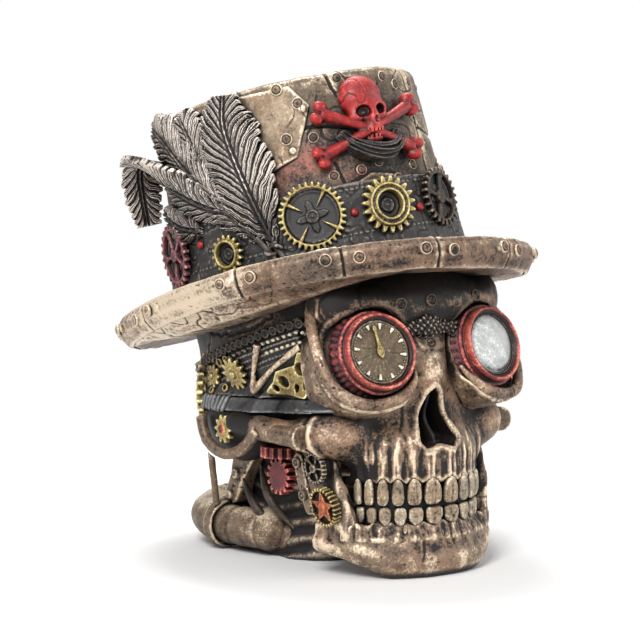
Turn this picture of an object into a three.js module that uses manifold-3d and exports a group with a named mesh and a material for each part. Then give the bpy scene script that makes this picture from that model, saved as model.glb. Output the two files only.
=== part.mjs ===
// Skull figurine in a riveted top hat with goggles, gears and feathers.
// Millimetres, +Z up, face towards -Y, the skull's own right side at -X.
// The origin is on the floor, under the middle of the skull.
import * as THREE from "three";
import { mergeVertices } from "three/addons/utils/BufferGeometryUtils.js";
import Module from "manifold-3d";

const wasm = await Module();
wasm.setup();

// Driving dimensions
const seatGap = 0.3;
const overrun = 1;
const weld = 0.0005;
const tiny = 1e-9;
const skull = {
  halfWidth: 47,
  halfLength: 60,
  height: 100,
  blend: 6,
  archRadius: 4.5,
  archBlend: 4,
  nasalWidth: 17,
  nasalHeight: 21,
  nasalDepth: 9,
};
const jaw = {
  halfThickness: 6,
  ramusThickness: 7,
  cornerRise: 8.5,
  sweepAngle: 92,
};
const teeth = {
  halfThickness: 2.6,
  bulge: 0.8,
  perRow: 12,
  sweepAngle: 74,
};
const neck = {
  halfWidth: 25,
  halfLength: 30,
};
const pipe = {
  radius: 7.6,
  collarRadius: 9.2,
  collarLength: 5,
};
const hat = {
  ease: 3,
  crownDrop: 9,
  crownHeight: 62.5,
  crownTaper: 4,
  edgeRound: 3,
  bowlGap: 2,
  tiltAngle: 12.5,
  rollAngle: 5,
};
const brim = {
  sideWidth: 22.5,
  endWidth: 24,
  thickness: 4,
  lip: 10.5,
  edgeDrop: 5.8,
  lean: 2,
  warp: 3,
  rootDrop: 13.5,
  sideDrop: 6,
  rootInset: 10,
};
const binding = {
  thickness: 1.2,
  rivets: 14,
  rivetRadius: 1.5,
  rivetHeight: 0.7,
};
const band = {
  height: 21,
  thickness: 2.2,
};
const plate = {
  halfWidth: 15,
  halfHeight: 18,
  thickness: 1.3,
  rivetRadius: 1.4,
  rivetHeight: 0.8,
};
const emblem = {
  halfWidth: 8.8,
  halfHeight: 12.5,
  relief: 5,
  eyeRadius: 2.2,
  boneRadius: 2.1,
  knobRadius: 3.1,
  ribbonHalfHeight: 3,
  ribbonThickness: 1.2,
};
const feather = {
  halfWidth: 11,
  rachis: 1.6,
  edge: 1.1,
};
const goggle = {
  yawAngle: 9,
  pitchAngle: 17,
  cupHalfWidth: 19.4,
  cupTop: 17.5,
  cupBottom: 21,
  cupSweep: 9,
  wall: 2.6,
  rimRadius: 1.75,
  rimSetback: 4.5,
  depth: 10,
  cupLength: 26,
  bezelOuter: 12.7,
  bezelInner: 10.4,
  bezelDepth: 2.6,
  flangeRadius: 14.2,
  flangeThickness: 1.8,
  ringRadius: 15.8,
  knurlDepth: 1.3,
  knurls: 18,
  dialThickness: 1,
  needleLength: 8,
  needleHalfWidth: 1.3,
  lensRise: 1.8,
};
const bridge = {
  halfWidth: 10,
  halfHeight: 14,
  thickness: 2.4,
  screwRadius: 2,
  screwHeight: 1,
};
const strap = {
  thickness: 2,
  chainRadius: 1.5,
};
const belt = {
  halfHeight: 2.4,
  thickness: 2.6,
};
const side = {
  braceRadius: 2.2,
  plateThickness: 1.6,
  plateHole: 2.6,
  coverThickness: 1.8,
  coverHole: 1.9,
  bracketRadius: 2.3,
  rodRadius: 3.6,
  rodCollar: 4.6,
  rodCollarLength: 3,
  neckRodRadius: 1.4,
  jawPlateThickness: 1.5,
  linkageThickness: 3,
  linkageBolt: 2,
  linkageBoltHeight: 1.2,
  bevelThickness: 4,
  bevelShift: 1.6,
  bevelShaft: 2.4,
};
// Gears: outer radius, tooth depth, thickness, and the radii of the rim and the hub.
const gears = {
  large: { radius: 12.2, tooth: 1.8, depth: 2.6, rim: 9, hub: 3.4, bar: 1.6, teeth: 24, spokes: 4 },
  ring: { radius: 10.4, tooth: 2.6, depth: 2.6, rim: 5.4, teeth: 14 },
  side: { radius: 10.8, tooth: 2, depth: 2.4, rim: 8.6, hub: 3.2, bar: 1.4, teeth: 16, spokes: 4 },
  small: { radius: 7, tooth: 1.6, depth: 2.2, rim: 3.6, teeth: 12 },
  rear: { radius: 11.8, tooth: 1.8, depth: 2.4, rim: 8.4, hub: 3, bar: 1.3, teeth: 16, spokes: 4 },
  temple: { radius: 6.4, tooth: 1.8, depth: 2.4, rim: 2.2, teeth: 12 },
  smallTemple: { radius: 4.4, tooth: 1.3, depth: 2, rim: 1.5, teeth: 8 },
  ear: { radius: 5.3, tooth: 1.8, depth: 3, teeth: 10 },
  jawDark: { radius: 5.9, tooth: 1.2, depth: 2.4, rim: 3.8, hub: 1.4, bar: 0.8, teeth: 14, spokes: 4 },
  jawCopper: { radius: 7.3, tooth: 1.3, depth: 4.6, rim: 5.2, hub: 2.2, bar: 1, teeth: 16, spokes: 5 },
  bevelUpper: { radius: 8.6, tooth: 2, teeth: 16 },
  bevelLower: { radius: 6.9, tooth: 2, teeth: 14 },
};
const stud = {
  radius: 1.7,
  height: 1.3,
};

// Lumps that blend into the skull: centres and radii as shares of its half width, half length and height.
const lumpShares = [
  { centre: [0, 0.05, 0.9], radii: [1, 0.97, 0.48] },
  { centre: [0, 0.35, 0.66], radii: [0.78, 0.62, 0.24] },
  { centre: [0, -0.6, 0.66], radii: [0.74, 0.34, 0.3] },
  { centre: [0.7, -0.66, 0.52], radii: [0.24, 0.2, 0.1] },
  { centre: [-0.7, -0.66, 0.52], radii: [0.24, 0.2, 0.1] },
  { centre: [0, -0.76, 0.445], radii: [0.54, 0.29, 0.135] },
  { centre: [0, -0.73, 0.385], radii: [0.5, 0.285, 0.07] },
  { centre: [0, -0.78, 0.97], radii: [0.72, 0.18, 0.08] },
  { centre: [0, -0.88, 0.73], radii: [0.13, 0.11, 0.14] },
  { centre: [0.72, 0.16, 0.52], radii: [0.26, 0.3, 0.16] },
  { centre: [-0.72, 0.16, 0.52], radii: [0.26, 0.3, 0.16] },
];
const archFrontShare = [0.88, -0.62, 0.5];
const archRearShare = [0.98, -0.05, 0.52];
const heartShare = [0, -0.1, 0.72];
const goggleShare = [0.553, -1.033, 0.815];

// Small helpers
const rad = THREE.MathUtils.degToRad;

function vec(x, y, z) {
  return new THREE.Vector3(x, y, z);
}

function onSkull([x, y, z]) {
  return vec(x * skull.halfWidth, y * skull.halfLength, z * skull.height);
}

// Solids and geometry
function toSolid(geometry) {
  const bare = new THREE.BufferGeometry();
  bare.setAttribute("position", geometry.getAttribute("position"));
  bare.setIndex(geometry.getIndex());
  const merged = mergeVertices(bare, weld);
  const vertProperties = new Float32Array(merged.getAttribute("position").array);
  const triVerts = new Uint32Array(merged.getIndex().array);
  const made = new wasm.Manifold(new wasm.Mesh({ numProp: 3, vertProperties, triVerts }));
  if (made.volume() >= 0) return made;
  for (let i = 0; i < triVerts.length; i += 3) {
    [triVerts[i], triVerts[i + 1]] = [triVerts[i + 1], triVerts[i]];
  }
  return new wasm.Manifold(new wasm.Mesh({ numProp: 3, vertProperties, triVerts }));
}

function toGeometry(solid) {
  const mesh = solid.getMesh();
  const positions = new Float32Array(mesh.numVert * 3);
  for (let i = 0; i < mesh.numVert; i++) {
    for (let axis = 0; axis < 3; axis++) {
      positions[i * 3 + axis] = mesh.vertProperties[i * mesh.numProp + axis];
    }
  }
  const geometry = new THREE.BufferGeometry();
  geometry.setAttribute("position", new THREE.BufferAttribute(positions, 3));
  geometry.setIndex(new THREE.BufferAttribute(new Uint32Array(mesh.triVerts), 1));
  geometry.computeVertexNormals();
  return geometry;
}

function join(geometries) {
  return geometries.map(toSolid).reduce((sum, next) => sum.add(next));
}

// The largest body of a solid, for pieces whose cut leaves crumbs.
function mainBody(solid) {
  return solid.decompose().reduce((best, next) => (next.volume() > best.volume() ? next : best));
}

// A closed skin over rings of points, capped at both ends unless the rings close on themselves.
function loft(rings, closed = false) {
  const sides = rings[0].length;
  const points = rings.flat();
  const faces = [];
  const spans = closed ? rings.length : rings.length - 1;
  for (let r = 0; r < spans; r++) {
    const next = (r + 1) % rings.length;
    for (let s = 0; s < sides; s++) {
      const t = (s + 1) % sides;
      const a = r * sides + s;
      const b = r * sides + t;
      const c = next * sides + s;
      const d = next * sides + t;
      faces.push(a, b, d, a, d, c);
    }
  }
  if (!closed) {
    const last = (rings.length - 1) * sides;
    const start = points.push(centroid(rings[0])) - 1;
    const end = points.push(centroid(rings.at(-1))) - 1;
    for (let s = 0; s < sides; s++) {
      const t = (s + 1) % sides;
      faces.push(start, t, s, end, last + s, last + t);
    }
  }
  const geometry = new THREE.BufferGeometry().setFromPoints(points);
  geometry.setIndex(faces);
  return geometry;
}

function centroid(points) {
  const sum = vec(0, 0, 0);
  points.forEach((point) => sum.add(point));
  return sum.divideScalar(points.length);
}

// A round bar along a smooth route. The radius may vary with the share of the length.
function bar(route, radiusAt, sides, steps, closed = false) {
  const curve = new THREE.CatmullRomCurve3(route, closed);
  const frames = curve.computeFrenetFrames(steps, closed);
  const rings = [];
  for (let i = 0; i < (closed ? steps : steps + 1); i++) {
    const share = i / steps;
    const centre = curve.getPointAt(share);
    const ring = [];
    for (let s = 0; s < sides; s++) {
      const angle = (2 * Math.PI * s) / sides;
      const point = centre.clone();
      point.addScaledVector(frames.normals[i], radiusAt(share) * Math.cos(angle));
      point.addScaledVector(frames.binormals[i], radiusAt(share) * Math.sin(angle));
      ring.push(point);
    }
    rings.push(ring);
  }
  return loft(rings, closed);
}

// A turned piece about Z from [radius, height] points.
function turned(profile, segments) {
  const points = profile.map(([radius, height]) => new THREE.Vector2(radius, height));
  return new THREE.LatheGeometry(points, segments).rotateX(Math.PI / 2);
}

function disc(radius, bottom, top, segments = 20) {
  return turned([[0, bottom], [radius, bottom], [radius, top], [0, top]], segments);
}

function hoop(inner, outer, bottom, top, segments = 32) {
  return turned([[inner, bottom], [outer, bottom], [outer, top], [inner, top], [inner, bottom]], segments);
}

function ball(radius, centre, detail = 1) {
  return new THREE.IcosahedronGeometry(radius, detail).translate(centre.x, centre.y, centre.z);
}

function prism(shape, bottom, top, curveSegments = 6) {
  const settings = { depth: top - bottom, bevelEnabled: false, curveSegments };
  return new THREE.ExtrudeGeometry(shape, settings).translate(0, 0, bottom);
}

function outline(shares, width, height) {
  const points = shares.map(([x, y]) => new THREE.Vector2(x * width, y * height));
  return new THREE.Shape(THREE.ShapeUtils.isClockWise(points) ? points.reverse() : points);
}

function roundHole(x, y, radius) {
  const hole = new THREE.Path();
  hole.absarc(x, y, radius, 0, 2 * Math.PI, true);
  return hole;
}

// A toothed wheel between two heights.
function gearPrism(gear, bottom, top) {
  return prism(gearShape(gear), bottom, top, gear.spokes ? 2 : 6);
}

// Its outline: a round window when it has no spokes, and one window between two spokes otherwise.
function gearShape({ radius, tooth, rim = 0, hub = 0, bar: spoke = 0, teeth: count, spokes = 0 }) {
  const shape = new THREE.Shape();
  const toothShares = [[-0.42, 0], [-0.2, 1], [0.2, 1], [0.42, 0]];
  for (let i = 0; i < count; i++) {
    for (const [turn, lift] of toothShares) {
      const angle = (2 * Math.PI * (i + turn)) / count;
      const r = radius - tooth * (1 - lift);
      const point = [r * Math.cos(angle), r * Math.sin(angle)];
      if (shape.curves.length || shape.currentPoint.lengthSq() > 0) shape.lineTo(...point);
      else shape.moveTo(...point);
    }
  }
  shape.closePath();
  if (rim > 0 && spokes === 0) shape.holes.push(roundHole(0, 0, rim));
  for (let i = 0; i < spokes; i++) {
    const from = (2 * Math.PI * i) / spokes;
    const to = (2 * Math.PI * (i + 1)) / spokes;
    const outer = Math.asin(spoke / rim);
    const inner = Math.asin(spoke / hub);
    const window = new THREE.Path();
    window.absarc(0, 0, rim, from + outer, to - outer, false);
    window.absarc(0, 0, hub, to - inner, from + inner, true);
    window.closePath();
    shape.holes.push(window);
  }
  return shape;
}

// The skull's surface
function ellipsoidDistance(point, centre, radii) {
  const q = point.clone().sub(centre).divide(radii);
  const k0 = q.length();
  const k1 = q.divide(radii).length();
  return (k0 * (k0 - 1)) / Math.max(k1, tiny);
}

function capsuleDistance(point, from, to, radius) {
  const nearest = new THREE.Line3(from, to).closestPointToPoint(point, true, vec(0, 0, 0));
  return nearest.distanceTo(point) - radius;
}

function blended(a, b, blend) {
  const share = THREE.MathUtils.clamp(0.5 + (0.5 * (b - a)) / blend, 0, 1);
  return b + (a - b) * share - blend * share * (1 - share);
}

const lumps = lumpShares.map(({ centre, radii }) => [onSkull(centre), onSkull(radii)]);
const mirror = vec(-1, 1, 1);
const archEnds = [archFrontShare, archRearShare].map(onSkull);

function skullDistance(point) {
  let distance = Infinity;
  for (const [centre, radii] of lumps) {
    const next = ellipsoidDistance(point, centre, radii);
    distance = distance === Infinity ? next : blended(distance, next, skull.blend);
  }
  const halved = point.clone();
  if (halved.x < 0) halved.multiply(mirror);
  const arch = capsuleDistance(halved, archEnds[0], archEnds[1], skull.archRadius);
  return blended(distance, arch, skull.archBlend);
}

// The farthest place along a ray where the skull's distance falls to the wanted offset.
const marchSteps = 90;
const halvings = 24;

function farCrossing(origin, direction, offset, far) {
  const at = (t) => skullDistance(origin.clone().addScaledVector(direction, t)) - offset;
  let outside = far;
  for (let i = 1; i <= marchSteps; i++) {
    let inside = far * (1 - i / marchSteps);
    if (at(inside) > 0) {
      outside = inside;
      continue;
    }
    for (let k = 0; k < halvings; k++) {
      const middle = (inside + outside) / 2;
      if (at(middle) > 0) outside = middle;
      else inside = middle;
    }
    return origin.clone().addScaledVector(direction, outside);
  }
  return origin.clone();
}

const layerCache = new Map();
const fineDetail = 6;
const coarseDetail = 4;

// The skull grown by an offset, as geometry in the figurine's own frame.
function skullLayer(offset, detail = fineDetail) {
  const key = offset + ":" + detail;
  if (!layerCache.has(key)) {
    const sphere = new THREE.IcosahedronGeometry(1, detail);
    sphere.deleteAttribute("normal");
    sphere.deleteAttribute("uv");
    const geometry = mergeVertices(sphere, weld);
    const position = geometry.getAttribute("position");
    const heart = onSkull(heartShare);
    const far = skull.height + offset;
    for (let i = 0; i < position.count; i++) {
      const direction = vec(position.getX(i), position.getY(i), position.getZ(i)).normalize();
      const point = farCrossing(heart, direction, offset, far);
      position.setXYZ(i, point.x, point.y, point.z);
    }
    layerCache.set(key, geometry);
  }
  return layerCache.get(key);
}

function skullCutter(offset, frame = new THREE.Matrix4(), detail = fineDetail) {
  const local = skullLayer(offset, detail).clone().applyMatrix4(frame.clone().invert());
  return toSolid(local);
}

// A place on the skull's side at shares of its half length and height.
// The hand is -1 on the skull's own right and 1 on its left.
function sidePoint(yShare, zShare, offset, hand) {
  const origin = vec(0, yShare * skull.halfLength, zShare * skull.height);
  return farCrossing(origin, vec(hand, 0, 0), offset, 2 * skull.halfWidth);
}

// The frame of a piece on the skull's side: Z along the outward normal and Y upwards.
function sideFrame(yShare, zShare, offset, hand) {
  const origin = sidePoint(yShare, zShare, offset, hand);
  const slope = ["x", "y", "z"].map((axis) => {
    const probe = origin.clone();
    probe[axis] += overrun;
    return skullDistance(probe) - skullDistance(origin);
  });
  return frameFrom(origin, vec(...slope), vec(0, 0, 1));
}

function frameFrom(origin, outward, upward) {
  const z = outward.clone().normalize();
  const x = upward.clone().cross(z).normalize();
  const y = z.clone().cross(x);
  return new THREE.Matrix4().makeBasis(x, y, z).setPosition(origin);
}

// A prism along X from an outline given as [y, z] shares of the skull's half length and height.
function sidePrism(shares, from, to, holes = []) {
  const shape = outline(shares, skull.halfLength, skull.height);
  holes.forEach(([y, z, radius]) => {
    shape.holes.push(roundHole(y * skull.halfLength, z * skull.height, radius));
  });
  const turn = new THREE.Matrix4().makeBasis(vec(0, 1, 0), vec(0, 0, 1), vec(1, 0, 0));
  return toSolid(prism(shape, from, to).applyMatrix4(turn));
}

// A curved plate that follows the skull between two offsets.
function skullSheet(blank, inner, thickness) {
  return blank.intersect(skullCutter(inner + thickness)).subtract(skullCutter(inner));
}

// Offsets of the stacked layers on the skull's side
const strapBack = seatGap;
const overStrap = strapBack + strap.thickness + seatGap;
const underCover = seatGap + belt.thickness + seatGap;
const overCover = underCover + side.coverThickness + seatGap;

// Materials
const finishes = {
  bronze: { color: 0x8d765c, roughness: 0.5, metalness: 0.6 },
  darkBronze: { color: 0x4b4038, roughness: 0.6, metalness: 0.5 },
  brass: { color: 0xb79d55, roughness: 0.45, metalness: 0.7 },
  copper: { color: 0xa5523f, roughness: 0.5, metalness: 0.6 },
  red: { color: 0xb4261d, roughness: 0.45, metalness: 0.1 },
  leather: { color: 0x232022, roughness: 0.7, metalness: 0 },
  rubber: { color: 0x4d5055, roughness: 0.6, metalness: 0.1 },
  featherGrey: { color: 0x918c84, roughness: 0.6, metalness: 0.4 },
  tooth: { color: 0xab9d84, roughness: 0.5, metalness: 0.3 },
  dial: { color: 0x3a332a, roughness: 0.5, metalness: 0.3 },
  glass: { color: 0xd5dad6, roughness: 0.1, metalness: 0 },
};

function piece(name, shape, finish) {
  const geometry = shape.isBufferGeometry ? shape : toGeometry(shape);
  const mesh = new THREE.Mesh(geometry, new THREE.MeshStandardMaterial(finishes[finish]));
  mesh.name = name;
  return mesh;
}

const handNames = [["right", -1], ["left", 1]];

// Goggle frames
function goggleFrame(hand) {
  const yaw = rad(goggle.yawAngle);
  const pitch = rad(goggle.pitchAngle);
  const axis = vec(hand * Math.sin(yaw) * Math.cos(pitch), -Math.cos(yaw) * Math.cos(pitch), Math.sin(pitch));
  const [xShare, yShare, zShare] = goggleShare;
  return frameFrom(onSkull([hand * xShare, yShare, zShare]), axis, vec(0, 0, 1));
}

// The round pocket that a goggle's rings stand in.
function gogglePocket(hand) {
  const pocket = disc(goggle.ringRadius + seatGap, -goggle.depth, goggle.cupLength);
  return toSolid(pocket.applyMatrix4(goggleFrame(hand)));
}

// Skull, jaw and teeth
const nasalShares = [
  [-1, -0.7], [-0.72, -1], [-0.12, -0.86], [0.12, -0.86], [0.72, -1],
  [1, -0.7], [0.3, 0.8], [0, 1], [-0.3, 0.8],
];
const nasalHeightShare = 0.56;

function nasalAperture() {
  const shape = outline(nasalShares, skull.nasalWidth / 2, skull.nasalHeight / 2);
  const front = frontPoint(nasalHeightShare);
  const blank = prism(shape, -skull.nasalDepth, skull.halfLength);
  return toSolid(blank.applyMatrix4(frameFrom(front, vec(0, -1, 0), vec(0, 0, 1))));
}

// The skull's front on its middle plane at a share of its height.
function frontPoint(zShare) {
  const origin = vec(0, 0, zShare * skull.height);
  return farCrossing(origin, vec(0, -1, 0), 0, 2 * skull.halfLength);
}

function cranium() {
  let solid = skullCutter(0).subtract(nasalAperture());
  handNames.forEach(([, hand]) => {
    solid = solid.subtract(gogglePocket(hand));
  });
  return mainBody(solid);
}

// A horseshoe in plan: shares of the skull's half width and half length.
const jawArchShares = { halfWidth: 0.66, depth: 0.4, back: -0.6 };
const toothArchShares = { halfWidth: 0.52, depth: 0.32, back: -0.69 };
const chinHeightShare = 0.19;
const biteHeightShare = 0.256;
const upperToothShare = 0.35;

function horseshoe(arch, angle) {
  const a = arch.halfWidth * skull.halfWidth;
  const b = arch.depth * skull.halfLength;
  const place = vec(a * Math.sin(angle), arch.back * skull.halfLength - b * Math.cos(angle), 0);
  const outward = vec(b * Math.sin(angle), -a * Math.cos(angle), 0).normalize();
  return { place, outward };
}

function archSweep(arch, angles, sectionAt) {
  const rings = angles.map((angle) => {
    const { place, outward } = horseshoe(arch, angle);
    return sectionAt(angle).map(([u, z]) => vec(place.x + outward.x * u, place.y + outward.y * u, z));
  });
  return loft(rings);
}

const jawSectionShares = [
  [-0.75, 0.1], [-0.1, 0], [0.65, 0], [1, 0.16], [1.05, 0.4], [0.8, 0.62], [0.8, 1], [-0.6, 1], [-0.85, 0.6],
];
// The jaw's upright branch: heights, front and rear edges, and how far out its face lies.
const ramusShares = [
  { z: 0.09, front: -0.84, rear: -0.56, out: 0.66 },
  { z: 0.17, front: -0.88, rear: -0.52, out: 0.71 },
  { z: 0.29, front: -0.83, rear: -0.45, out: 0.765 },
  { z: 0.42, front: -0.75, rear: -0.41, out: 0.79 },
  { z: 0.6, front: -0.73, rear: -0.41, out: 0.79 },
];

function ramusBlank(hand, grow) {
  const rings = ramusShares.map(({ z, front, rear, out }) => {
    const outer = out * skull.halfWidth + grow;
    const inner = outer - jaw.ramusThickness;
    const from = front * skull.halfLength - grow;
    const to = rear * skull.halfLength + grow;
    const round = jaw.ramusThickness / 2;
    const section = [
      [inner, from + round], [outer - round, from], [outer, from + round], [outer, to - round],
      [outer - round, to], [inner, to - round],
    ];
    return section.map(([x, y]) => vec(hand * x, y, z * skull.height));
  });
  return toSolid(loft(rings));
}

// How far round the arch the lower edge starts to climb, as a share of its half width.
const cornerStart = 0.6;

function jawBody(grow) {
  const angles = [];
  const spans = 16;
  for (let i = 0; i <= spans; i++) angles.push(rad(jaw.sweepAngle) * ((2 * i) / spans - 1));
  return toSolid(archSweep(jawArchShares, angles, (angle) => {
    const lift = jaw.cornerRise * Math.max(0, (Math.abs(Math.sin(angle)) - cornerStart) / (1 - cornerStart));
    const height = chinHeightShare * skull.height - lift;
    return jawSectionShares.map(([u, z]) => {
      const out = u * jaw.halfThickness + Math.sign(u) * grow;
      return [out, lift + z * height + (z < cornerStart ? -grow : grow)];
    });
  }));
}

function mandible() {
  let solid = jawBody(0);
  handNames.forEach(([, hand]) => {
    solid = solid.add(ramusBlank(hand, 0));
  });
  return mainBody(solid.subtract(skullCutter(seatGap)));
}

// A row of teeth as one bead with a groove between neighbours.
function toothRow(bottom, top, reachOut) {
  const half = rad(teeth.sweepAngle);
  const perTooth = 2;
  const spans = teeth.perRow * perTooth;
  const angles = [];
  for (let i = 0; i <= spans; i++) angles.push(-half + (2 * half * i) / spans);
  return archSweep(toothArchShares, angles, (angle) => {
    const phase = ((angle + half) / (2 * half)) * teeth.perRow * Math.PI;
    const out = reachOut + teeth.halfThickness - teeth.bulge * (1 - Math.abs(Math.sin(phase)));
    const middle = (bottom + top) / 2;
    return [[out, bottom], [out + teeth.bulge, middle], [out, top], [-teeth.halfThickness, top],
      [-teeth.halfThickness, bottom]];
  });
}

function upperTeeth() {
  const row = toSolid(toothRow(biteHeightShare * skull.height + seatGap, upperToothShare * skull.height, 0));
  return mainBody(row.subtract(skullCutter(seatGap)));
}

function lowerTeeth() {
  const bottom = chinHeightShare * skull.height + seatGap;
  return toSolid(toothRow(bottom, biteHeightShare * skull.height - seatGap, -teeth.bulge));
}

// Neck: rings given as [height, width share, length share, place along Y].
const neckRingShares = [
  { z: 0, width: 1, length: 1, y: 0.17 },
  { z: 0.08, width: 1, length: 1, y: 0.17 },
  { z: 0.22, width: 0.9, length: 0.9, y: 0.13 },
  { z: 0.36, width: 0.94, length: 0.92, y: 0.12 },
  { z: 0.6, width: 0.94, length: 0.92, y: 0.1 },
];

function neckBlank(grow) {
  const sides = 16;
  const rings = neckRingShares.map(({ z, width, length, y }) => {
    const ring = [];
    for (let s = 0; s < sides; s++) {
      const angle = (2 * Math.PI * s) / sides;
      const squared = (value) => Math.sign(value) * Math.pow(Math.abs(value), 2 / 3);
      const x = (width * neck.halfWidth + grow) * squared(Math.cos(angle));
      const along = (length * neck.halfLength + grow) * squared(Math.sin(angle));
      ring.push(vec(x, y * skull.halfLength + along, z * skull.height));
    }
    return ring;
  });
  return toSolid(loft(rings));
}

function neckBase() {
  return mainBody(neckBlank(0).subtract(skullCutter(seatGap)).subtract(pipeSpace()));
}

const pipeRouteShares = [
  [-0.56, 0.12, 0.098], [-0.6, 0.36, 0.096], [-0.6, 0.62, 0.098], [-0.46, 0.83, 0.11], [-0.2, 0.9, 0.125],
  [0.02, 0.8, 0.14], [0.02, 0.52, 0.16],
];
const collarShare = 0.26;

function pipeRoute() {
  return pipeRouteShares.map(onSkull);
}

function pipeBar(radius) {
  return bar(pipeRoute(), () => radius, 10, 16);
}

function collarFrame() {
  const curve = new THREE.CatmullRomCurve3(pipeRoute());
  return frameFrom(curve.getPointAt(collarShare), curve.getTangentAt(collarShare), vec(0, 0, 1));
}

// The room that the pipe and its collar take, with a gap all round.
function pipeSpace() {
  const half = pipe.collarLength / 2 + seatGap;
  const collar = disc(pipe.collarRadius + seatGap, -half, half).applyMatrix4(collarFrame());
  return join([pipeBar(pipe.radius + seatGap), collar]);
}

function pipeCollar() {
  const half = pipe.collarLength / 2;
  return hoop(pipe.radius + seatGap, pipe.collarRadius, -half, half, 20).applyMatrix4(collarFrame());
}

// Hat: its own frame leans back and to the skull's right.
const hatSeatShare = [-0.043, 0.133, 1.085];
// How much of the skull's own oval the crown follows.
const crownOvalShare = 0.9;
const crownOval = (crownOvalShare * skull.halfLength) / skull.halfWidth;
const hatTurn = new THREE.Matrix4().makeRotationY(-rad(hat.rollAngle)).multiply(
  new THREE.Matrix4().makeRotationX(-rad(hat.tiltAngle)),
);
const hatFrame = hatTurn.clone().setPosition(onSkull(hatSeatShare));
const crownSegments = 40;

function crownRadius(z) {
  const base = skull.halfWidth + hat.ease;
  return base - (hat.crownTaper * z) / hat.crownHeight;
}

// A place on the crown: angle in degrees from the front towards the skull's left, height and lift.
function crownPoint(angle, z, lift) {
  const radius = crownRadius(z);
  const turn = rad(angle);
  return vec((radius + lift) * Math.sin(turn), -(radius + lift) * crownOval * Math.cos(turn), z);
}

function crownFrame(angle, z, lift) {
  const origin = crownPoint(angle, z, lift);
  const along = crownPoint(angle + 1, z, lift).sub(crownPoint(angle - 1, z, lift)).normalize();
  const up = crownPoint(angle, z + overrun, lift).sub(origin).normalize();
  return frameFrom(origin, along.cross(up), up);
}

function crownBody(offset, bottom, top) {
  return ovalTurned([
    [0, bottom],
    [crownRadius(bottom) + offset, bottom],
    [crownRadius(top) + offset, top],
    [0, top],
  ]);
}

// A turned solid stretched to the crown's oval.
function ovalTurned(profile) {
  const geometry = turned(profile, crownSegments);
  return toSolid(geometry.scale(1, crownOval, 1));
}

function crownCutter(offset) {
  return crownBody(offset, -hat.crownDrop - overrun, hat.crownHeight + overrun);
}

function hatCrown() {
  const bottom = -hat.crownDrop;
  const top = hat.crownHeight;
  const rim = crownRadius(top);
  const profile = [
    [0, bottom],
    [crownRadius(bottom), bottom],
    [crownRadius(top - hat.edgeRound), top - hat.edgeRound],
    [rim - hat.edgeRound * 0.3, top - hat.edgeRound * 0.3],
    [rim - hat.edgeRound, top],
    [rim - 3 * hat.edgeRound, top - hat.edgeRound * 0.5],
    [0, top - hat.edgeRound * 0.5],
  ];
  return mainBody(ovalTurned(profile).subtract(skullCutter(hat.bowlGap, hatFrame, coarseDetail)));
}

function brimEdge(turn) {
  return -brim.edgeDrop - brim.lean * Math.sin(turn) - brim.warp * Math.sin(2 * turn);
}

// The brim's section at an angle: points outward from the crown's foot, and heights.
function brimSection(turn) {
  const width = Math.hypot(brim.sideWidth * Math.sin(turn), brim.endWidth * Math.cos(turn));
  const edge = brimEdge(turn);
  const root = -brim.rootDrop - brim.sideDrop * Math.sin(turn) ** 2;
  const top = -hat.crownDrop - seatGap;
  const footing = band.thickness + 3 * seatGap;
  return [
    [-brim.rootInset, root],
    [-brim.rootInset, top],
    [footing, top],
    [width * 0.62, Math.min(top, edge - brim.lip) + brim.thickness],
    [width - 1.2 * brim.thickness, edge - brim.lip * 0.45],
    [width - 0.8 * brim.thickness, edge],
    [width - 0.3 * brim.thickness, edge],
    [width, edge - brim.lip * 0.25],
    [width - 0.1 * brim.thickness, edge - brim.lip * 0.6],
    [width - 0.8 * brim.thickness, edge - brim.lip],
    [width * 0.6, Math.min(root, edge - brim.lip) * 0.96],
  ];
}

const brimSpans = 28;

function brimRings(sectionAt, spans) {
  const rings = [];
  for (let i = 0; i < spans; i++) {
    const turn = (2 * Math.PI * i) / spans;
    rings.push(sectionAt(turn).map(([u, z]) => crownPoint((turn * 180) / Math.PI, 0, u).setZ(z)));
  }
  return loft(rings, true);
}

function hatBrim() {
  const toHat = hatFrame.clone().invert();
  let solid = toSolid(brimRings(brimSection, brimSpans)).subtract(skullCutter(seatGap, hatFrame));
  handNames.forEach(([, hand]) => {
    solid = solid.subtract(toSolid(toGeometry(cupEnvelope(hand)).applyMatrix4(toHat)));
  });
  return mainBody(solid);
}

// The riveted strip round the brim's lip.
function brimBinding() {
  const strip = brimRings((turn) => {
    const lipPoints = brimSection(turn).slice(5, 10);
    const near = lipPoints.slice(1).map(([u, z]) => [u + seatGap, z]);
    const far = near.map(([u, z]) => [u + binding.thickness, z]).reverse();
    return [...near, ...far];
  }, brimSpans);
  let solid = toSolid(strip);
  for (let i = 0; i < binding.rivets; i++) {
    const share = (i + 0.5) / binding.rivets;
    const turn = 2 * Math.PI * share;
    const [u, z] = brimSection(turn)[7];
    const centre = crownPoint(share * 360, 0, u + seatGap).setZ(z - brim.lip * 0.15);
    const outward = crownPoint(share * 360, 0, u + overrun).sub(crownPoint(share * 360, 0, u));
    const rivetTop = binding.thickness + binding.rivetHeight;
    const rivet = disc(binding.rivetRadius, binding.thickness / 2, rivetTop, 6);
    solid = solid.add(toSolid(rivet.applyMatrix4(frameFrom(centre, outward, vec(0, 0, 1)))));
  }
  return solid;
}

function hatBand() {
  const inner = seatGap;
  const outer = seatGap + band.thickness;
  const bottom = -hat.crownDrop;
  const ring = crownBody(outer, bottom, band.height);
  return ring.subtract(crownCutter(inner));
}

// What lies on the hat starts over the crown above the band and over the band below its top.
const overCrown = seatGap;
const overBand = 2 * seatGap + band.thickness;

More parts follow.
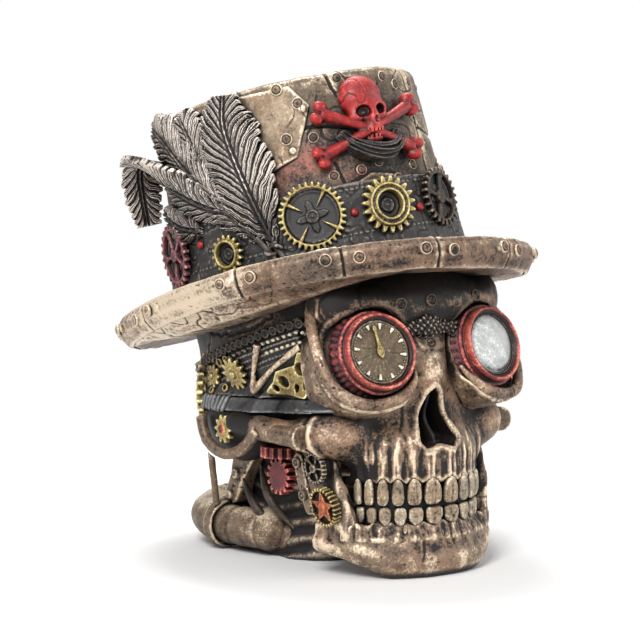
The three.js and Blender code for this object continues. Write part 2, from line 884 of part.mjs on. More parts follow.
function hatEnvelope() {
  const aboveBand = crownCutter(overCrown);
  return aboveBand.add(crownBody(overBand, -hat.crownDrop - overrun, band.height + seatGap));
}

function onBand(gear, angle, z) {
  return toSolid(gearPrism(gear, 0, gear.depth).applyMatrix4(crownFrame(angle, z, overBand)));
}

const bandGearShares = [
  ["large_band_gear", "large", -38.5, 0.57, "brass"],
  ["ring_band_gear", "ring", -9.4, 0.53, "brass"],
  ["side_band_gear", "side", 18.5, 0.56, "darkBronze"],
  ["small_band_gear", "small", -73, 0.28, "brass"],
  ["rear_band_gear", "rear", -104, 0.53, "copper"],
];
const bandStudShares = [[-23, 0.5], [6, 0.42], [-87, 0.57]];

function bandGears() {
  return bandGearShares.map(([name, kind, angle, zShare, finish]) => {
    return piece(name, onBand(gears[kind], angle, zShare * band.height), finish);
  });
}

function bandStuds() {
  return bandStudShares.map(([angle, zShare], index) => {
    const profile = [[0, -stud.height], [stud.radius, -stud.height], [stud.radius, 0],
      [stud.radius * 0.7, stud.height * 0.7], [0, stud.height]];
    const blank = turned(profile, 10).applyMatrix4(crownFrame(angle, zShare * band.height, overBand));
    return piece("band_stud_" + (index + 1), mainBody(toSolid(blank).subtract(hatEnvelope())), "red");
  });
}

const hexShares = [
  [-1, -0.35], [-0.5, -0.97], [0.4, -0.75], [0.9, 0.22], [0.32, 0.88], [-0.6, 0.97], [-1, 0.55],
];
const hexPlace = { angle: -46, zShare: 0.755 };

// A block with the patch's outline, standing through the crown's wall.
function hexBlock(grow) {
  const shape = outline(hexShares, plate.halfWidth + grow, plate.halfHeight + grow);
  const frame = crownFrame(hexPlace.angle, hexPlace.zShare * hat.crownHeight, 0);
  return toSolid(prism(shape, -plate.halfWidth, plate.halfWidth).applyMatrix4(frame));
}

// Everything above the crown's rounded upper edge.
function aboveCrown() {
  const block = new THREE.BoxGeometry(4 * skull.halfWidth, 4 * skull.halfLength, hat.crownHeight);
  return toSolid(block.translate(0, 0, 1.5 * hat.crownHeight - hat.edgeRound));
}

function patchPlate() {
  const frame = crownFrame(hexPlace.angle, hexPlace.zShare * hat.crownHeight, 0);
  const thick = overCrown + plate.thickness;
  let solid = hexBlock(0).intersect(crownCutter(thick));
  const inset = 1 - (2 * plate.rivetRadius) / plate.halfWidth;
  hexShares.slice(1, 6).forEach(([x, y]) => {
    const place = vec(x * inset * plate.halfWidth, y * inset * plate.halfHeight, 0).applyMatrix4(frame);
    const angle = THREE.MathUtils.radToDeg(Math.atan2(place.x * crownOval, -place.y));
    const rivet = disc(plate.rivetRadius, 0, thick + plate.rivetHeight, 8);
    solid = solid.add(toSolid(rivet.applyMatrix4(crownFrame(angle, place.z, 0))));
  });
  return mainBody(solid.subtract(crownCutter(overCrown)).subtract(aboveCrown()));
}

// Emblem: crossed bones over a ribbon, and a small skull over both.
const ribbonTop = overCrown + emblem.ribbonThickness;
const boneEndShares = [
  [[-27.5, 0.755], [11, 0.49]],
  [[14.5, 0.74], [-30, 0.51]],
];
const ribbonShares = [[-21, 0.64], [-16, 0.56], [-9, 0.49], [0, 0.5], [8, 0.6]];
const emblemPlace = { angle: -6, zShare: 0.73 };

function crossbones(grow) {
  const radius = emblem.boneRadius + grow;
  const knob = emblem.knobRadius + grow;
  const parts = [];
  const lift = ribbonTop + seatGap + emblem.boneRadius * 0.6;
  boneEndShares.forEach(([from, to]) => {
    const route = [0, 0.25, 0.5, 0.75, 1].map((share) => crownPoint(
      THREE.MathUtils.lerp(from[0], to[0], share),
      THREE.MathUtils.lerp(from[1], to[1], share) * hat.crownHeight,
      lift,
    ));
    parts.push(bar(route, () => radius, 6, 6));
    [[route[0], route[1]], [route[4], route[3]]].forEach(([end, before]) => {
      const along = end.clone().sub(before).normalize();
      const across = along.clone().cross(end.clone().setZ(0).normalize());
      [-1, 1].forEach((way) => {
        parts.push(ball(knob, end.clone().addScaledVector(across, way * emblem.knobRadius * 0.8)));
      });
    });
  });
  return join(parts).subtract(crownCutter(ribbonTop + seatGap));
}

function emblemRibbon() {
  const route = ribbonShares.map(([angle, share]) => crownPoint(angle, share * hat.crownHeight, 0));
  const curve = new THREE.CatmullRomCurve3(route);
  const rings = [];
  const spans = 9;
  for (let i = 0; i <= spans; i++) {
    const point = curve.getPointAt(i / spans);
    const out = point.clone().setZ(0).normalize();
    const half = emblem.ribbonHalfHeight * (0.75 + 0.25 * Math.sin((Math.PI * i) / spans));
    rings.push([[-1, -1], [1, -1], [1, 1], [-1, 1]].map(([w, d]) => {
      const corner = point.clone().addScaledVector(out, d * emblem.relief);
      return corner.setZ(corner.z + w * half);
    }));
  }
  return mainBody(toSolid(loft(rings)).intersect(crownCutter(ribbonTop)).subtract(crownCutter(overCrown)));
}

function emblemSkull() {
  const z = emblemPlace.zShare * hat.crownHeight;
  const lift = ribbonTop + seatGap + 2 * emblem.boneRadius;
  const frame = crownFrame(emblemPlace.angle, z, lift - emblem.relief * 0.5);
  const dome = new THREE.IcosahedronGeometry(1, 2)
    .scale(emblem.halfWidth, emblem.halfHeight * 0.66, emblem.relief)
    .translate(0, emblem.halfHeight * 0.34, 0);
  const chin = new THREE.IcosahedronGeometry(1, 1)
    .scale(emblem.halfWidth * 0.62, emblem.halfHeight * 0.5, emblem.relief * 0.85)
    .translate(0, -emblem.halfHeight * 0.5, 0);
  let solid = join([dome.applyMatrix4(frame), chin.applyMatrix4(frame)]);
  [-1, 1].forEach((way) => {
    const eye = disc(emblem.eyeRadius, emblem.relief * 0.55, 2 * emblem.relief, 10)
      .translate(way * emblem.halfWidth * 0.42, 0, 0);
    solid = solid.subtract(toSolid(eye.applyMatrix4(frame)));
  });
  return mainBody(solid.subtract(crossbones(2 * seatGap)).subtract(crownCutter(ribbonTop + seatGap)));
}

// Feathers: angles round the crown, heights as shares of the crown's, lifts as shares of the half width.
const featherTable = [
  {
    name: "feather_front",
    angles: [-54, -58, -62, -65, -63],
    heightShares: [0.07, 0.3, 0.55, 0.8, 0.985],
    liftShares: [0.3, 0.32, 0.32, 0.32, 0.36],
    widthShare: 1,
  },
  {
    name: "feather_middle",
    angles: [-60, -72, -85, -97, -109],
    heightShares: [0.12, 0.36, 0.6, 0.82, 0.97],
    liftShares: [0.3, 0.22, 0.2, 0.2, 0.26],
    widthShare: 0.86,
  },
  {
    name: "feather_rear",
    angles: [-63, -80, -97, -112, -124, -132, -135],
    heightShares: [0.26, 0.38, 0.55, 0.7, 0.72, 0.62, 0.44],
    liftShares: [0.3, 0.35, 0.5, 0.9, 1.5, 1.7, 1.5],
    widthShare: 0.68,
  },
  {
    name: "feather_small",
    angles: [-84, -92, -99, -105],
    heightShares: [0.26, 0.3, 0.36, 0.46],
    liftShares: [0.5, 0.6, 0.7, 0.9],
    widthShare: 0.41,
  },
];
const vaneCrest = 0.45;
const vaneShares = [0.14, 0.3, 0.72, 0.95, 1, 0.98, 0.92, 0.75, 0.25];

function featherBlank({ angles, heightShares, liftShares, widthShare }, grow) {
  const halfWidth = widthShare * feather.halfWidth;
  const centres = angles.map((angle, i) => crownPoint(
    angle, heightShares[i] * hat.crownHeight, overCrown + liftShares[i] * halfWidth,
  ));
  const curve = new THREE.CatmullRomCurve3(centres);
  const spans = 14;
  const rings = [];
  for (let i = 0; i <= spans; i++) {
    const share = i / spans;
    const centre = curve.getPointAt(share);
    const along = curve.getTangentAt(share);
    const outward = vec(centre.x, centre.y / crownOval, 0).normalize();
    const across = along.clone().cross(outward).normalize();
    const lift = across.clone().cross(along).normalize();
    const place = share * (vaneShares.length - 1);
    const low = Math.min(Math.floor(place), vaneShares.length - 2);
    const half = halfWidth * THREE.MathUtils.lerp(vaneShares[low], vaneShares[low + 1], place - low) + grow;
    const sink = -2 * feather.rachis;
    const section = [
      [-1, sink], [-1, 0], [-vaneCrest, feather.edge], [0, feather.rachis],
      [vaneCrest, feather.edge], [1, 0], [1, sink],
    ];
    rings.push(section.map(([w, h]) => {
      const point = centre.clone().addScaledVector(across, w * half);
      return point.addScaledVector(lift, h + (h < 0 ? -grow : grow));
    }));
  }
  return toSolid(loft(rings));
}

function feathers() {
  const gearSpace = bandGearShares.slice(3).map(([, kind, angle, zShare]) => {
    const space = disc(gears[kind].radius + seatGap, -hat.ease, gears[kind].depth + seatGap);
    return toSolid(space.applyMatrix4(crownFrame(angle, zShare * band.height, overBand)));
  }).reduce((sum, next) => sum.add(next));
  const rivetTop = overCrown + plate.thickness + plate.rivetHeight + seatGap;
  const plateSpace = hexBlock(seatGap).intersect(crownCutter(rivetTop));
  const taken = plateSpace.add(gearSpace).add(hatEnvelope());
  const laid = [];
  return featherTable.map((entry) => {
    let solid = featherBlank(entry, 0).subtract(taken);
    laid.forEach((other) => {
      solid = solid.subtract(other);
    });
    laid.push(featherBlank(entry, seatGap));
    return piece(entry.name, mainBody(solid), "featherGrey");
  });
}

// Goggles
const cupSides = 18;
const cupSquareness = 0.72;
const sweepPower = 1.5;

function cupOutline(hand, grow) {
  const points = [];
  for (let i = 0; i < cupSides; i++) {
    const angle = (2 * Math.PI * i) / cupSides;
    const lateral = Math.cos(angle) * hand > 0;
    const power = lateral ? cupSquareness : 1;
    const wide = lateral ? goggle.cupHalfWidth : goggle.cupHalfWidth - goggle.wall;
    const high = Math.sin(angle) > 0 ? goggle.cupTop : goggle.cupBottom;
    const x = Math.sign(Math.cos(angle)) * Math.pow(Math.abs(Math.cos(angle)), power) * (wide + grow);
    const y = Math.sign(Math.sin(angle)) * Math.pow(Math.abs(Math.sin(angle)), power) * (high + grow);
    const sweep = lateral ? goggle.cupSweep * Math.abs(Math.cos(angle)) ** sweepPower : 0;
    points.push(vec(x, y, -sweep));
  }
  return points;
}

// A block with the cup's outline whose front is swept back at the temple.
function cupBlank(hand, grow, bottom, top) {
  const back = cupOutline(hand, grow).map((point) => point.setZ(bottom));
  const front = cupOutline(hand, grow).map((point) => point.setZ(point.z + top));
  return toSolid(loft([back, front]));
}

function besideCups(solid) {
  return solid.subtract(cupEnvelope(-1)).subtract(cupEnvelope(1));
}

// The space that a cup and its rim take, with a gap all round.
function cupEnvelope(hand) {
  const blank = toGeometry(cupBlank(hand, seatGap + goggle.rimRadius, -goggle.cupLength, goggle.rimRadius));
  return toSolid(blank.applyMatrix4(goggleFrame(hand)));
}

function goggleCup(hand) {
  const front = -goggle.rimSetback;
  let solid = cupBlank(hand, 0, -goggle.cupLength, front);
  const rimRoute = cupOutline(hand, -goggle.wall / 2).map((point) => point.setZ(point.z + front));
  solid = solid.add(toSolid(bar(rimRoute, () => goggle.rimRadius, 6, 22, true)));
  solid = solid.subtract(cupBlank(hand, -goggle.wall, -goggle.depth, goggle.cupLength));
  solid = solid.subtract(toSolid(disc(goggle.ringRadius + seatGap, -goggle.depth, goggle.cupLength)));
  return mainBody(solid.subtract(skullCutter(seatGap, goggleFrame(hand))));
}

function lensBarrel() {
  const back = -goggle.depth + seatGap;
  const flangeTop = -goggle.bezelDepth - seatGap;
  const flangeBottom = flangeTop - goggle.flangeThickness;
  return turned([
    [0, back],
    [goggle.bezelOuter, back],
    [goggle.bezelOuter, flangeBottom],
    [goggle.flangeRadius, flangeBottom],
    [goggle.flangeRadius, flangeTop],
    [0, flangeTop],
  ], 22);
}

function knurledRing() {
  const bottom = -goggle.depth + seatGap;
  const top = -goggle.bezelDepth - goggle.flangeThickness - 2 * seatGap;
  const shape = gearShape({ radius: goggle.ringRadius, tooth: goggle.knurlDepth, teeth: goggle.knurls });
  shape.holes.push(roundHole(0, 0, goggle.bezelOuter + 2 * seatGap));
  return prism(shape, bottom, top);
}

function bezelRing() {
  const back = -goggle.bezelDepth;
  const { bezelInner: inner, bezelOuter: outer } = goggle;
  return turned([
    [inner, back],
    [outer, back],
    [outer, back / 2],
    [(inner + outer) / 2, 0],
    [inner, back / 2],
    [inner, back],
  ], 24);
}

function gaugeDial() {
  const bottom = -goggle.bezelDepth;
  return disc(goggle.bezelInner - seatGap, bottom, bottom + goggle.dialThickness, 22);
}

const needleShares = [[-1, -0.25], [1, -0.25], [1, 0.3], [0.5, 0.5], [0, 1], [-0.5, 0.5], [-1, 0.3]];

function gaugeNeedle() {
  const bottom = -goggle.bezelDepth + goggle.dialThickness + seatGap;
  const shape = outline(needleShares, goggle.needleHalfWidth, goggle.needleLength);
  return prism(shape, bottom, bottom + goggle.dialThickness / 2);
}

function glassLens() {
  const bottom = -goggle.bezelDepth;
  const radius = goggle.bezelInner - seatGap;
  const profile = [[0, bottom], [radius, bottom]];
  const spans = 4;
  const edge = bottom * 0.6;
  for (let i = 0; i <= spans; i++) {
    const angle = (Math.PI * i) / (2 * spans);
    profile.push([radius * Math.cos(angle), edge + (goggle.lensRise - edge) * Math.sin(angle)]);
  }
  return turned(profile, 22);
}

const bridgeShares = [
  [-0.5, -1], [0.5, -1], [0.45, -0.2], [0.9, 0.35], [1, 1], [-1, 1], [-0.9, 0.35], [-0.45, -0.2],
];
const bridgeScrewShares = [[-0.55, 0.72], [0.55, 0.72], [0, -0.35]];
const bridgeHeightShare = 0.885;

function noseBridge() {
  const frame = frameFrom(frontPoint(bridgeHeightShare), vec(0, -1, 0), vec(0, 0, 1));
  const shape = outline(bridgeShares, bridge.halfWidth, bridge.halfHeight);
  const blank = prism(shape, -2 * skull.nasalDepth, skull.nasalDepth);
  let solid = skullSheet(toSolid(blank.applyMatrix4(frame)), seatGap, bridge.thickness);
  bridgeScrewShares.forEach(([x, y]) => {
    const place = vec(x * bridge.halfWidth, y * bridge.halfHeight, 0).applyMatrix4(frame);
    const from = vec(place.x, 0, place.z);
    const foot = farCrossing(from, vec(0, -1, 0), seatGap, 2 * skull.halfLength);
    const screw = disc(bridge.screwRadius, -bridge.screwHeight, bridge.thickness + bridge.screwHeight, 10);
    solid = solid.add(toSolid(screw.applyMatrix4(frameFrom(foot, vec(0, -1, 0), vec(0, 0, 1)))));
  });
  solid = solid.subtract(skullCutter(seatGap));
  return mainBody(besideCups(solid));
}

function goggleGroup([handName, hand]) {
  const group = new THREE.Group();
  group.applyMatrix4(goggleFrame(hand));
  group.add(piece("goggle_cup_" + handName, goggleCup(hand), "bronze"));
  group.add(piece("lens_barrel_" + handName, lensBarrel(), "copper"));
  group.add(piece("knurled_ring_" + handName, knurledRing(), "copper"));
  group.add(piece("bezel_ring_" + handName, bezelRing(), "copper"));
  if (hand < 0) {
    group.add(piece("gauge_dial", gaugeDial(), "dial"));
    group.add(piece("gauge_needle", gaugeNeedle(), "brass"));
  } else {
    group.add(piece("glass_lens_left", glassLens(), "glass"));
  }
  return group;
}

// Straps and belts round the head
const strapTopShares = [[-0.53, 0.915], [-0.22, 0.85], [0.44, 0.72], [1.3, 0.62]];
const beltLineShares = [[-0.72, 0.612], [-0.3, 0.59], [0.2, 0.584], [1.3, 0.56]];

function lineHeight(shares, yShare) {
  const index = Math.max(1, shares.findIndex(([y]) => y >= yShare));
  const [[y0, z0], [y1, z1]] = [shares[index - 1], shares[index]];
  return z0 + ((z1 - z0) * (yShare - y0)) / (y1 - y0);
}

function wrapBlank(topShares, bottomShares) {
  return sidePrism([...bottomShares, ...topShares.toReversed()], -2 * skull.halfWidth, 2 * skull.halfWidth);
}

function headStrap() {
  const lift = (belt.halfHeight + seatGap) / skull.height;
  const start = strapTopShares[0][0];
  const bottom = [[start, lineHeight(beltLineShares, start) + lift]];
  beltLineShares.slice(1).forEach(([y, z]) => bottom.push([y, z + lift]));
  return mainBody(besideCups(skullSheet(wrapBlank(strapTopShares, bottom), strapBack, strap.thickness)));
}

function lowerBelt() {
  const half = belt.halfHeight / skull.height;
  const top = beltLineShares.map(([y, z]) => [y, z + half]);
  const bottom = beltLineShares.map(([y, z]) => [y, z - half]);
  return mainBody(besideCups(skullSheet(wrapBlank(top, bottom), seatGap, belt.thickness)));
}

const chainYShares = [-0.48, -0.36, -0.22, -0.05, 0.1, 0.2, 0.29];

function strapChain(hand) {
  const sink = (strap.chainRadius + seatGap) / skull.height;
  const lift = overStrap + strap.chainRadius;
  const route = chainYShares.map((y) => sidePoint(y, lineHeight(strapTopShares, y) - sink, lift, hand));
  const links = 13;
  const swell = (share) => strap.chainRadius * (0.78 + 0.22 * Math.cos(2 * Math.PI * links * share));
  return mainBody(toSolid(bar(route, swell, 6, 2 * links)).subtract(skullCutter(overStrap)));
}

// Pieces on the skull's right side
const braceShares = [
  [[-0.28, 0.79], [-0.2, 0.72], [-0.14, 0.64]],
  [[-0.54, 0.815], [-0.34, 0.73], [-0.14, 0.64]],
];

function templeBrace(grow) {
  const arms = braceShares.map((arm) => {
    const route = arm.map(([y, z]) => sidePoint(y, z, overStrap + side.braceRadius * 0.4, -1));
    return bar(route, () => side.braceRadius + grow, 6, 5);
  });
  return mainBody(besideCups(join(arms).subtract(skullCutter(overStrap - grow))));
}

const templePlateShares = [[-0.26, 0.645], [-0.62, 0.66], [-0.62, 0.8], [-0.54, 0.79], [-0.36, 0.7]];
const templePlateHoleShare = [-0.47, 0.7];

function templePlate() {
  const hole = [...templePlateHoleShare, side.plateHole];
  const blank = sidePrism(templePlateShares, -2 * skull.halfWidth, 0, [hole]);
  const sheet = skullSheet(blank, overStrap, side.plateThickness);
  return mainBody(besideCups(sheet.subtract(templeBrace(seatGap))));
}

function gearOnSide(gear, [yShare, zShare], offset, upright) {
  const leaning = sideFrame(yShare, zShare, offset, -1);
  const straight = frameFrom(sidePoint(yShare, zShare, offset, -1), vec(-1, 0, 0), vec(0, 0, 1));
  const frame = upright ? straight : leaning;
  const blank = gearPrism(gear, -2 * gear.depth, gear.depth).applyMatrix4(frame);
  return mainBody(toSolid(blank).subtract(skullCutter(offset)));
}

const sideGears = [
  ["temple_gear_right", "temple", [-0.03, 0.703], overStrap, false, "brass"],
  ["small_temple_gear_right", "smallTemple", [0.2, 0.68], overStrap, false, "brass"],
  ["ear_gear_right", "ear", [0.02, 0.497], seatGap, true, "copper"],
];

const rearCoverShares = [
  [0.34, 0.765], [0.6, 0.75], [0.66, 0.62], [0.6, 0.47], [0.41, 0.46], [0.36, 0.6],
];
const rearCoverHoleShares = [[0.46, 0.71], [0.5, 0.645], [0.5, 0.58], [0.5, 0.515]];

function rearCover() {
  const holes = rearCoverHoleShares.map(([y, z]) => [y, z, side.coverHole]);
  const blank = sidePrism(rearCoverShares, -2 * skull.halfWidth, 0, holes);
  return mainBody(skullSheet(blank, underCover, side.coverThickness));
}

const earBracketShares = [[0.29, 0.53], [0.24, 0.45], [0.06, 0.405], [-0.14, 0.43], [-0.3, 0.51]];

function earBracket(hand) {
  const radius = side.bracketRadius;
  const x = hand * (skull.halfWidth + radius / 2);
  const route = earBracketShares.map(([y, z]) => vec(x, y * skull.halfLength, z * skull.height));
  return mainBody(toSolid(bar(route, () => radius, 6, 10)).subtract(skullCutter(seatGap)));
}

const rodShares = [[-0.44, 0.507], [-0.56, 0.506], [-0.68, 0.505]];

function cheekRod(hand) {
  const lift = seatGap + side.rodRadius * 0.2;
  const route = rodShares.map(([y, z]) => sidePoint(y, z, lift, hand));
  const ends = (share) => side.rodRadius * (share > 0 ? 1 : 0.6);
  const along = route[2].clone().sub(route[1]);
  const half = side.rodCollarLength / 2;
  const collar = disc(side.rodCollar, -half, half, 12).applyMatrix4(frameFrom(route[2], along, vec(0, 0, 1)));
  return mainBody(join([bar(route, ends, 8, 6), collar]).subtract(skullCutter(seatGap)));
}

const neckRodShares = [[-0.86, 0.38, 0.44], [-0.84, 0.39, 0.36], [-0.78, 0.43, 0.26], [-0.68, 0.5, 0.1]];

function neckRod() {
  const rod = toSolid(bar(neckRodShares.map(onSkull), () => side.neckRodRadius, 8, 12));
  const clear = pipeSpace().add(skullCutter(overCover));
  return mainBody(rod.subtract(clear));
}

const linkageShares = [
  [0.22, 0.41], [0.36, 0.42], [0.43, 0.36], [0.46, 0.28], [0.55, 0.19],
  [0.5, 0.15], [0.4, 0.18], [0.32, 0.27], [0.2, 0.36],
];
const linkageBoltShares = [[0.31, 0.375], [0.39, 0.29], [0.46, 0.205]];

function neckLinkage() {
  const back = neck.halfWidth + seatGap;
  let solid = sidePrism(linkageShares, -back - side.linkageThickness, 0);
  const outward = vec(-1, 0, 0);
  linkageBoltShares.forEach(([y, z]) => {
    const place = vec(-back - side.linkageThickness, y * skull.halfLength, z * skull.height);
    const bolt = disc(side.linkageBolt, -overrun, side.linkageBoltHeight, 8);
    solid = solid.add(toSolid(bolt.applyMatrix4(frameFrom(place, outward, vec(0, 0, 1)))));
  });
  const clear = neckBlank(seatGap).add(skullCutter(seatGap)).add(pipeSpace());
  return mainBody(solid.subtract(clear));
}

// Bevel gears: one hangs from the skull on its shaft and turns the other, which stands on the neck.
const bevelUpperShare = [-0.72, -0.24, 0.4];

function bevelBlank(gear, shaftLength) {
  const parts = [
    gearPrism(gear, 0, side.bevelThickness),
    disc(side.bevelShaft, 0, side.bevelThickness + shaftLength, 8),
  ];
  return join(parts);
}

function bevelUpper() {
  const centre = onSkull(bevelUpperShare);
  const blank = toGeometry(bevelBlank(gears.bevelUpper, skull.height / 3));
  const frame = frameFrom(centre, vec(0, 0, 1), vec(0, 1, 0));
  return mainBody(toSolid(blank.applyMatrix4(frame)).subtract(skullCutter(seatGap)));
}

function bevelLower() {
  const centre = onSkull(bevelUpperShare);
  centre.z -= gears.bevelLower.radius + seatGap;
  centre.x -= side.bevelShift;
  centre.y += side.bevelShift;
  const blank = toGeometry(bevelBlank(gears.bevelLower, skull.halfWidth));
  const frame = frameFrom(centre, vec(1, 0, 0), vec(0, 0, 1));
  return mainBody(toSolid(blank.applyMatrix4(frame)).subtract(neckBlank(seatGap)));
}

// Pieces on the jaw's right branch
const jawPlateShares = [
  [-0.41, 0.43], [-0.52, 0.44], [-0.57, 0.34], [-0.6, 0.24], [-0.5, 0.2], [-0.46, 0.29],
];
const jawPlateRivetShares = [[-0.49, 0.4], [-0.52, 0.31]];
const jawDarkShare = [-0.655, 0.39];
const jawCopperShare = [-0.73, 0.26];

// Half the stretch over which the branch's slope is measured.
const slopeShare = 0.01;

// How far the right branch's face lies from the middle plane at a share of the skull's height.
function ramusFace(zShare) {
  const index = Math.max(1, ramusShares.findIndex(({ z }) => z >= zShare));
  const [low, high] = [ramusShares[index - 1], ramusShares[index]];
  const along = (zShare - low.z) / (high.z - low.z);
  return THREE.MathUtils.lerp(low.out, high.out, along) * skull.halfWidth;
}

function onJaw(yShare, zShare) {
  const origin = vec(-ramusFace(zShare) - seatGap, yShare * skull.halfLength, zShare * skull.height);
  const spread = ramusFace(zShare + slopeShare) - ramusFace(zShare - slopeShare);
  const rise = spread / (2 * slopeShare * skull.height);
  return frameFrom(origin, vec(-1, 0, -rise), vec(0, 0, 1));
}

function besideJaw(solid) {
  const clear = ramusBlank(-1, seatGap).add(jawBody(seatGap)).add(skullCutter(seatGap));
  return mainBody(solid.subtract(clear));
}

function jawPlate() {
  const front = ramusFace(jawPlateRivetShares[0][1]) + seatGap + side.jawPlateThickness;
  let solid = sidePrism(jawPlateShares, -front, -front + jaw.ramusThickness);
  jawPlateRivetShares.forEach(([y, z]) => {
    const rivet = disc(plate.rivetRadius, 0, side.jawPlateThickness + plate.rivetHeight, 8);
    solid = solid.add(toSolid(rivet.applyMatrix4(onJaw(y, z))));
  });
  return besideJaw(solid);
}

function gearOnJaw(gear, [yShare, zShare]) {
  const blank = gearPrism(gear, -overrun, gear.depth).applyMatrix4(onJaw(yShare, zShare));
  return besideJaw(toSolid(blank));
}

// Assembly
const figurine = new THREE.Group();
figurine.add(piece("cranium", cranium(), "bronze"));
figurine.add(piece("jaw", mandible(), "bronze"));
figurine.add(piece("upper_teeth", upperTeeth(), "tooth"));
figurine.add(piece("lower_teeth", lowerTeeth(), "tooth"));
figurine.add(piece("neck_base", neckBase(), "darkBronze"));
figurine.add(piece("neck_pipe", pipeBar(pipe.radius), "bronze"));
figurine.add(piece("pipe_collar", pipeCollar(), "bronze"));
figurine.add(piece("nose_bridge", noseBridge(), "darkBronze"));
figurine.add(piece("head_strap", headStrap(), "leather"));
figurine.add(piece("lower_belt", lowerBelt(), "rubber"));
figurine.add(piece("temple_brace_right", templeBrace(0), "bronze"));
figurine.add(piece("temple_plate_right", templePlate(), "brass"));
sideGears.forEach(([name, kind, shares, offset, upright, finish]) => {
  figurine.add(piece(name, gearOnSide(gears[kind], shares, offset, upright), finish));
});
figurine.add(piece("rear_cover_right", rearCover(), "brass"));
figurine.add(piece("neck_rod_right", neckRod(), "bronze"));
figurine.add(piece("neck_linkage_right", neckLinkage(), "bronze"));
figurine.add(piece("bevel_gear_upper", bevelUpper(), "red"));
figurine.add(piece("bevel_gear_lower", bevelLower(), "red"));
figurine.add(piece("jaw_plate_right", jawPlate(), "bronze"));
figurine.add(piece("jaw_gear_dark_right", gearOnJaw(gears.jawDark, jawDarkShare), "darkBronze"));
figurine.add(piece("jaw_gear_copper_right", gearOnJaw(gears.jawCopper, jawCopperShare), "copper"));
handNames.forEach(([handName, hand]) => {
  figurine.add(piece("strap_chain_" + handName, strapChain(hand), "darkBronze"));
  figurine.add(piece("ear_bracket_" + handName, earBracket(hand), "bronze"));
  figurine.add(piece("cheek_rod_" + handName, cheekRod(hand), "bronze"));
  figurine.add(goggleGroup([handName, hand]));
});

const hatGroup = new THREE.Group();
hatGroup.applyMatrix4(hatFrame);
hatGroup.add(piece("hat_crown", hatCrown(), "bronze"));
hatGroup.add(piece("hat_brim", hatBrim(), "bronze"));
hatGroup.add(piece("brim_binding", brimBinding(), "bronze"));
hatGroup.add(piece("hat_band", hatBand(), "leather"));
hatGroup.add(piece("patch_plate", patchPlate(), "bronze"));
hatGroup.add(piece("emblem_ribbon", emblemRibbon(), "leather"));
hatGroup.add(piece("emblem_crossbones", crossbones(0), "red"));
hatGroup.add(piece("emblem_skull", emblemSkull(), "red"));
hatGroup.add(...bandGears(), ...bandStuds(), ...feathers());
figurine.add(hatGroup);

export default figurine;
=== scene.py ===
"""Steampunk skull figurine: the cast and painted look of each piece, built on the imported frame."""

import math

import bpy
import numpy as np
import openvdb
from mathutils import Matrix, Vector


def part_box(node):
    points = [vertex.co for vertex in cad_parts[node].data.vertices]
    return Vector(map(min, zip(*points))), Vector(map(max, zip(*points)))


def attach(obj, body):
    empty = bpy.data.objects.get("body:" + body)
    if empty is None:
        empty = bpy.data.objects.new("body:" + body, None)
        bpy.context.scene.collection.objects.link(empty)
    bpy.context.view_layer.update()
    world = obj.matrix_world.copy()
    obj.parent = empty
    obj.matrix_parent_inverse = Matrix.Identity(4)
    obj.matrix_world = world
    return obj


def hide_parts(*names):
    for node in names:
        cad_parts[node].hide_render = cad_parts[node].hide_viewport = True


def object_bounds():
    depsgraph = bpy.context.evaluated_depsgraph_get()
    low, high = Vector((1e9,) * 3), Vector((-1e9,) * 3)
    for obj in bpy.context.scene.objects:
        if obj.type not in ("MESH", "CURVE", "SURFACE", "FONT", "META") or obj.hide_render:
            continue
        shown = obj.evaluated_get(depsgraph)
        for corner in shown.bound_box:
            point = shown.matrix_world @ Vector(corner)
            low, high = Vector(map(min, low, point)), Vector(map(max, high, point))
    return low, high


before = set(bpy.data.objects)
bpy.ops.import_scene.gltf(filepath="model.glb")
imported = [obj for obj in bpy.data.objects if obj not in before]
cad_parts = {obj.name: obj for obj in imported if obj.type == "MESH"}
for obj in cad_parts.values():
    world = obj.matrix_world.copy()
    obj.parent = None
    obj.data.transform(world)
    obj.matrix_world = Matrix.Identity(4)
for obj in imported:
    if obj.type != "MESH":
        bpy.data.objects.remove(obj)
cad_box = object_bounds()

# Lengths are in millimetres until a mesh is made.
millimetre = 0.001

# The skull's half width, half length and height, which the shares below follow.
skull_size = np.array([47.0, 60.0, 100.0])


# Numbers

def rotation(axis, degrees):
    """The 3 x 3 matrix that turns about the axis."""
    return np.array(Matrix.Rotation(math.radians(degrees), 3, axis))


def unit(vectors):
    length = np.linalg.norm(vectors, axis=-1, keepdims=True)
    return vectors / np.maximum(length, 1e-9)


def smooth_step(value, low, high):
    """0 up to low and 1 from high on, or the other way round where low is the larger."""
    share = np.clip((value - low) / (high - low), 0, 1)
    return share * share * (3 - 2 * share)


def bell(distance, width):
    """1 where the distance is zero, and nearly nothing from twice the width on."""
    return np.exp(-(distance / width) ** 2)


def blend_min(a, b, radius):
    """The smaller of two distances, with a fillet."""
    h = np.clip(0.5 + 0.5 * (b - a) / radius, 0, 1)
    return b + (a - b) * h - radius * h * (1 - h)


def blend_max(a, b, radius):
    return -blend_min(-a, -b, radius)


def value_at(value, points):
    """Values that are given, or what a function gives for each point."""
    return value(points) if callable(value) else value


def turn_from(angle, middle):
    """Degrees from one direction to another, between -180 and 180."""
    return (angle - middle + 180) % 360 - 180


# Noise; each call gives the size of its lumps in millimetres and a number that tells it from the others

def lattice_value(i, j, k, seed):
    """A value from 0 to 1 that looks random and always belongs to the same whole numbers."""
    mixed = (i * 73856093) ^ (j * 19349663) ^ (k * 83492791) ^ (seed * 2654435761)
    mixed = ((mixed ^ (mixed >> 13)) * 1274126177) & 0xFFFFFFFF
    return ((mixed ^ (mixed >> 16)) & 0xFFFF) / 65535.0


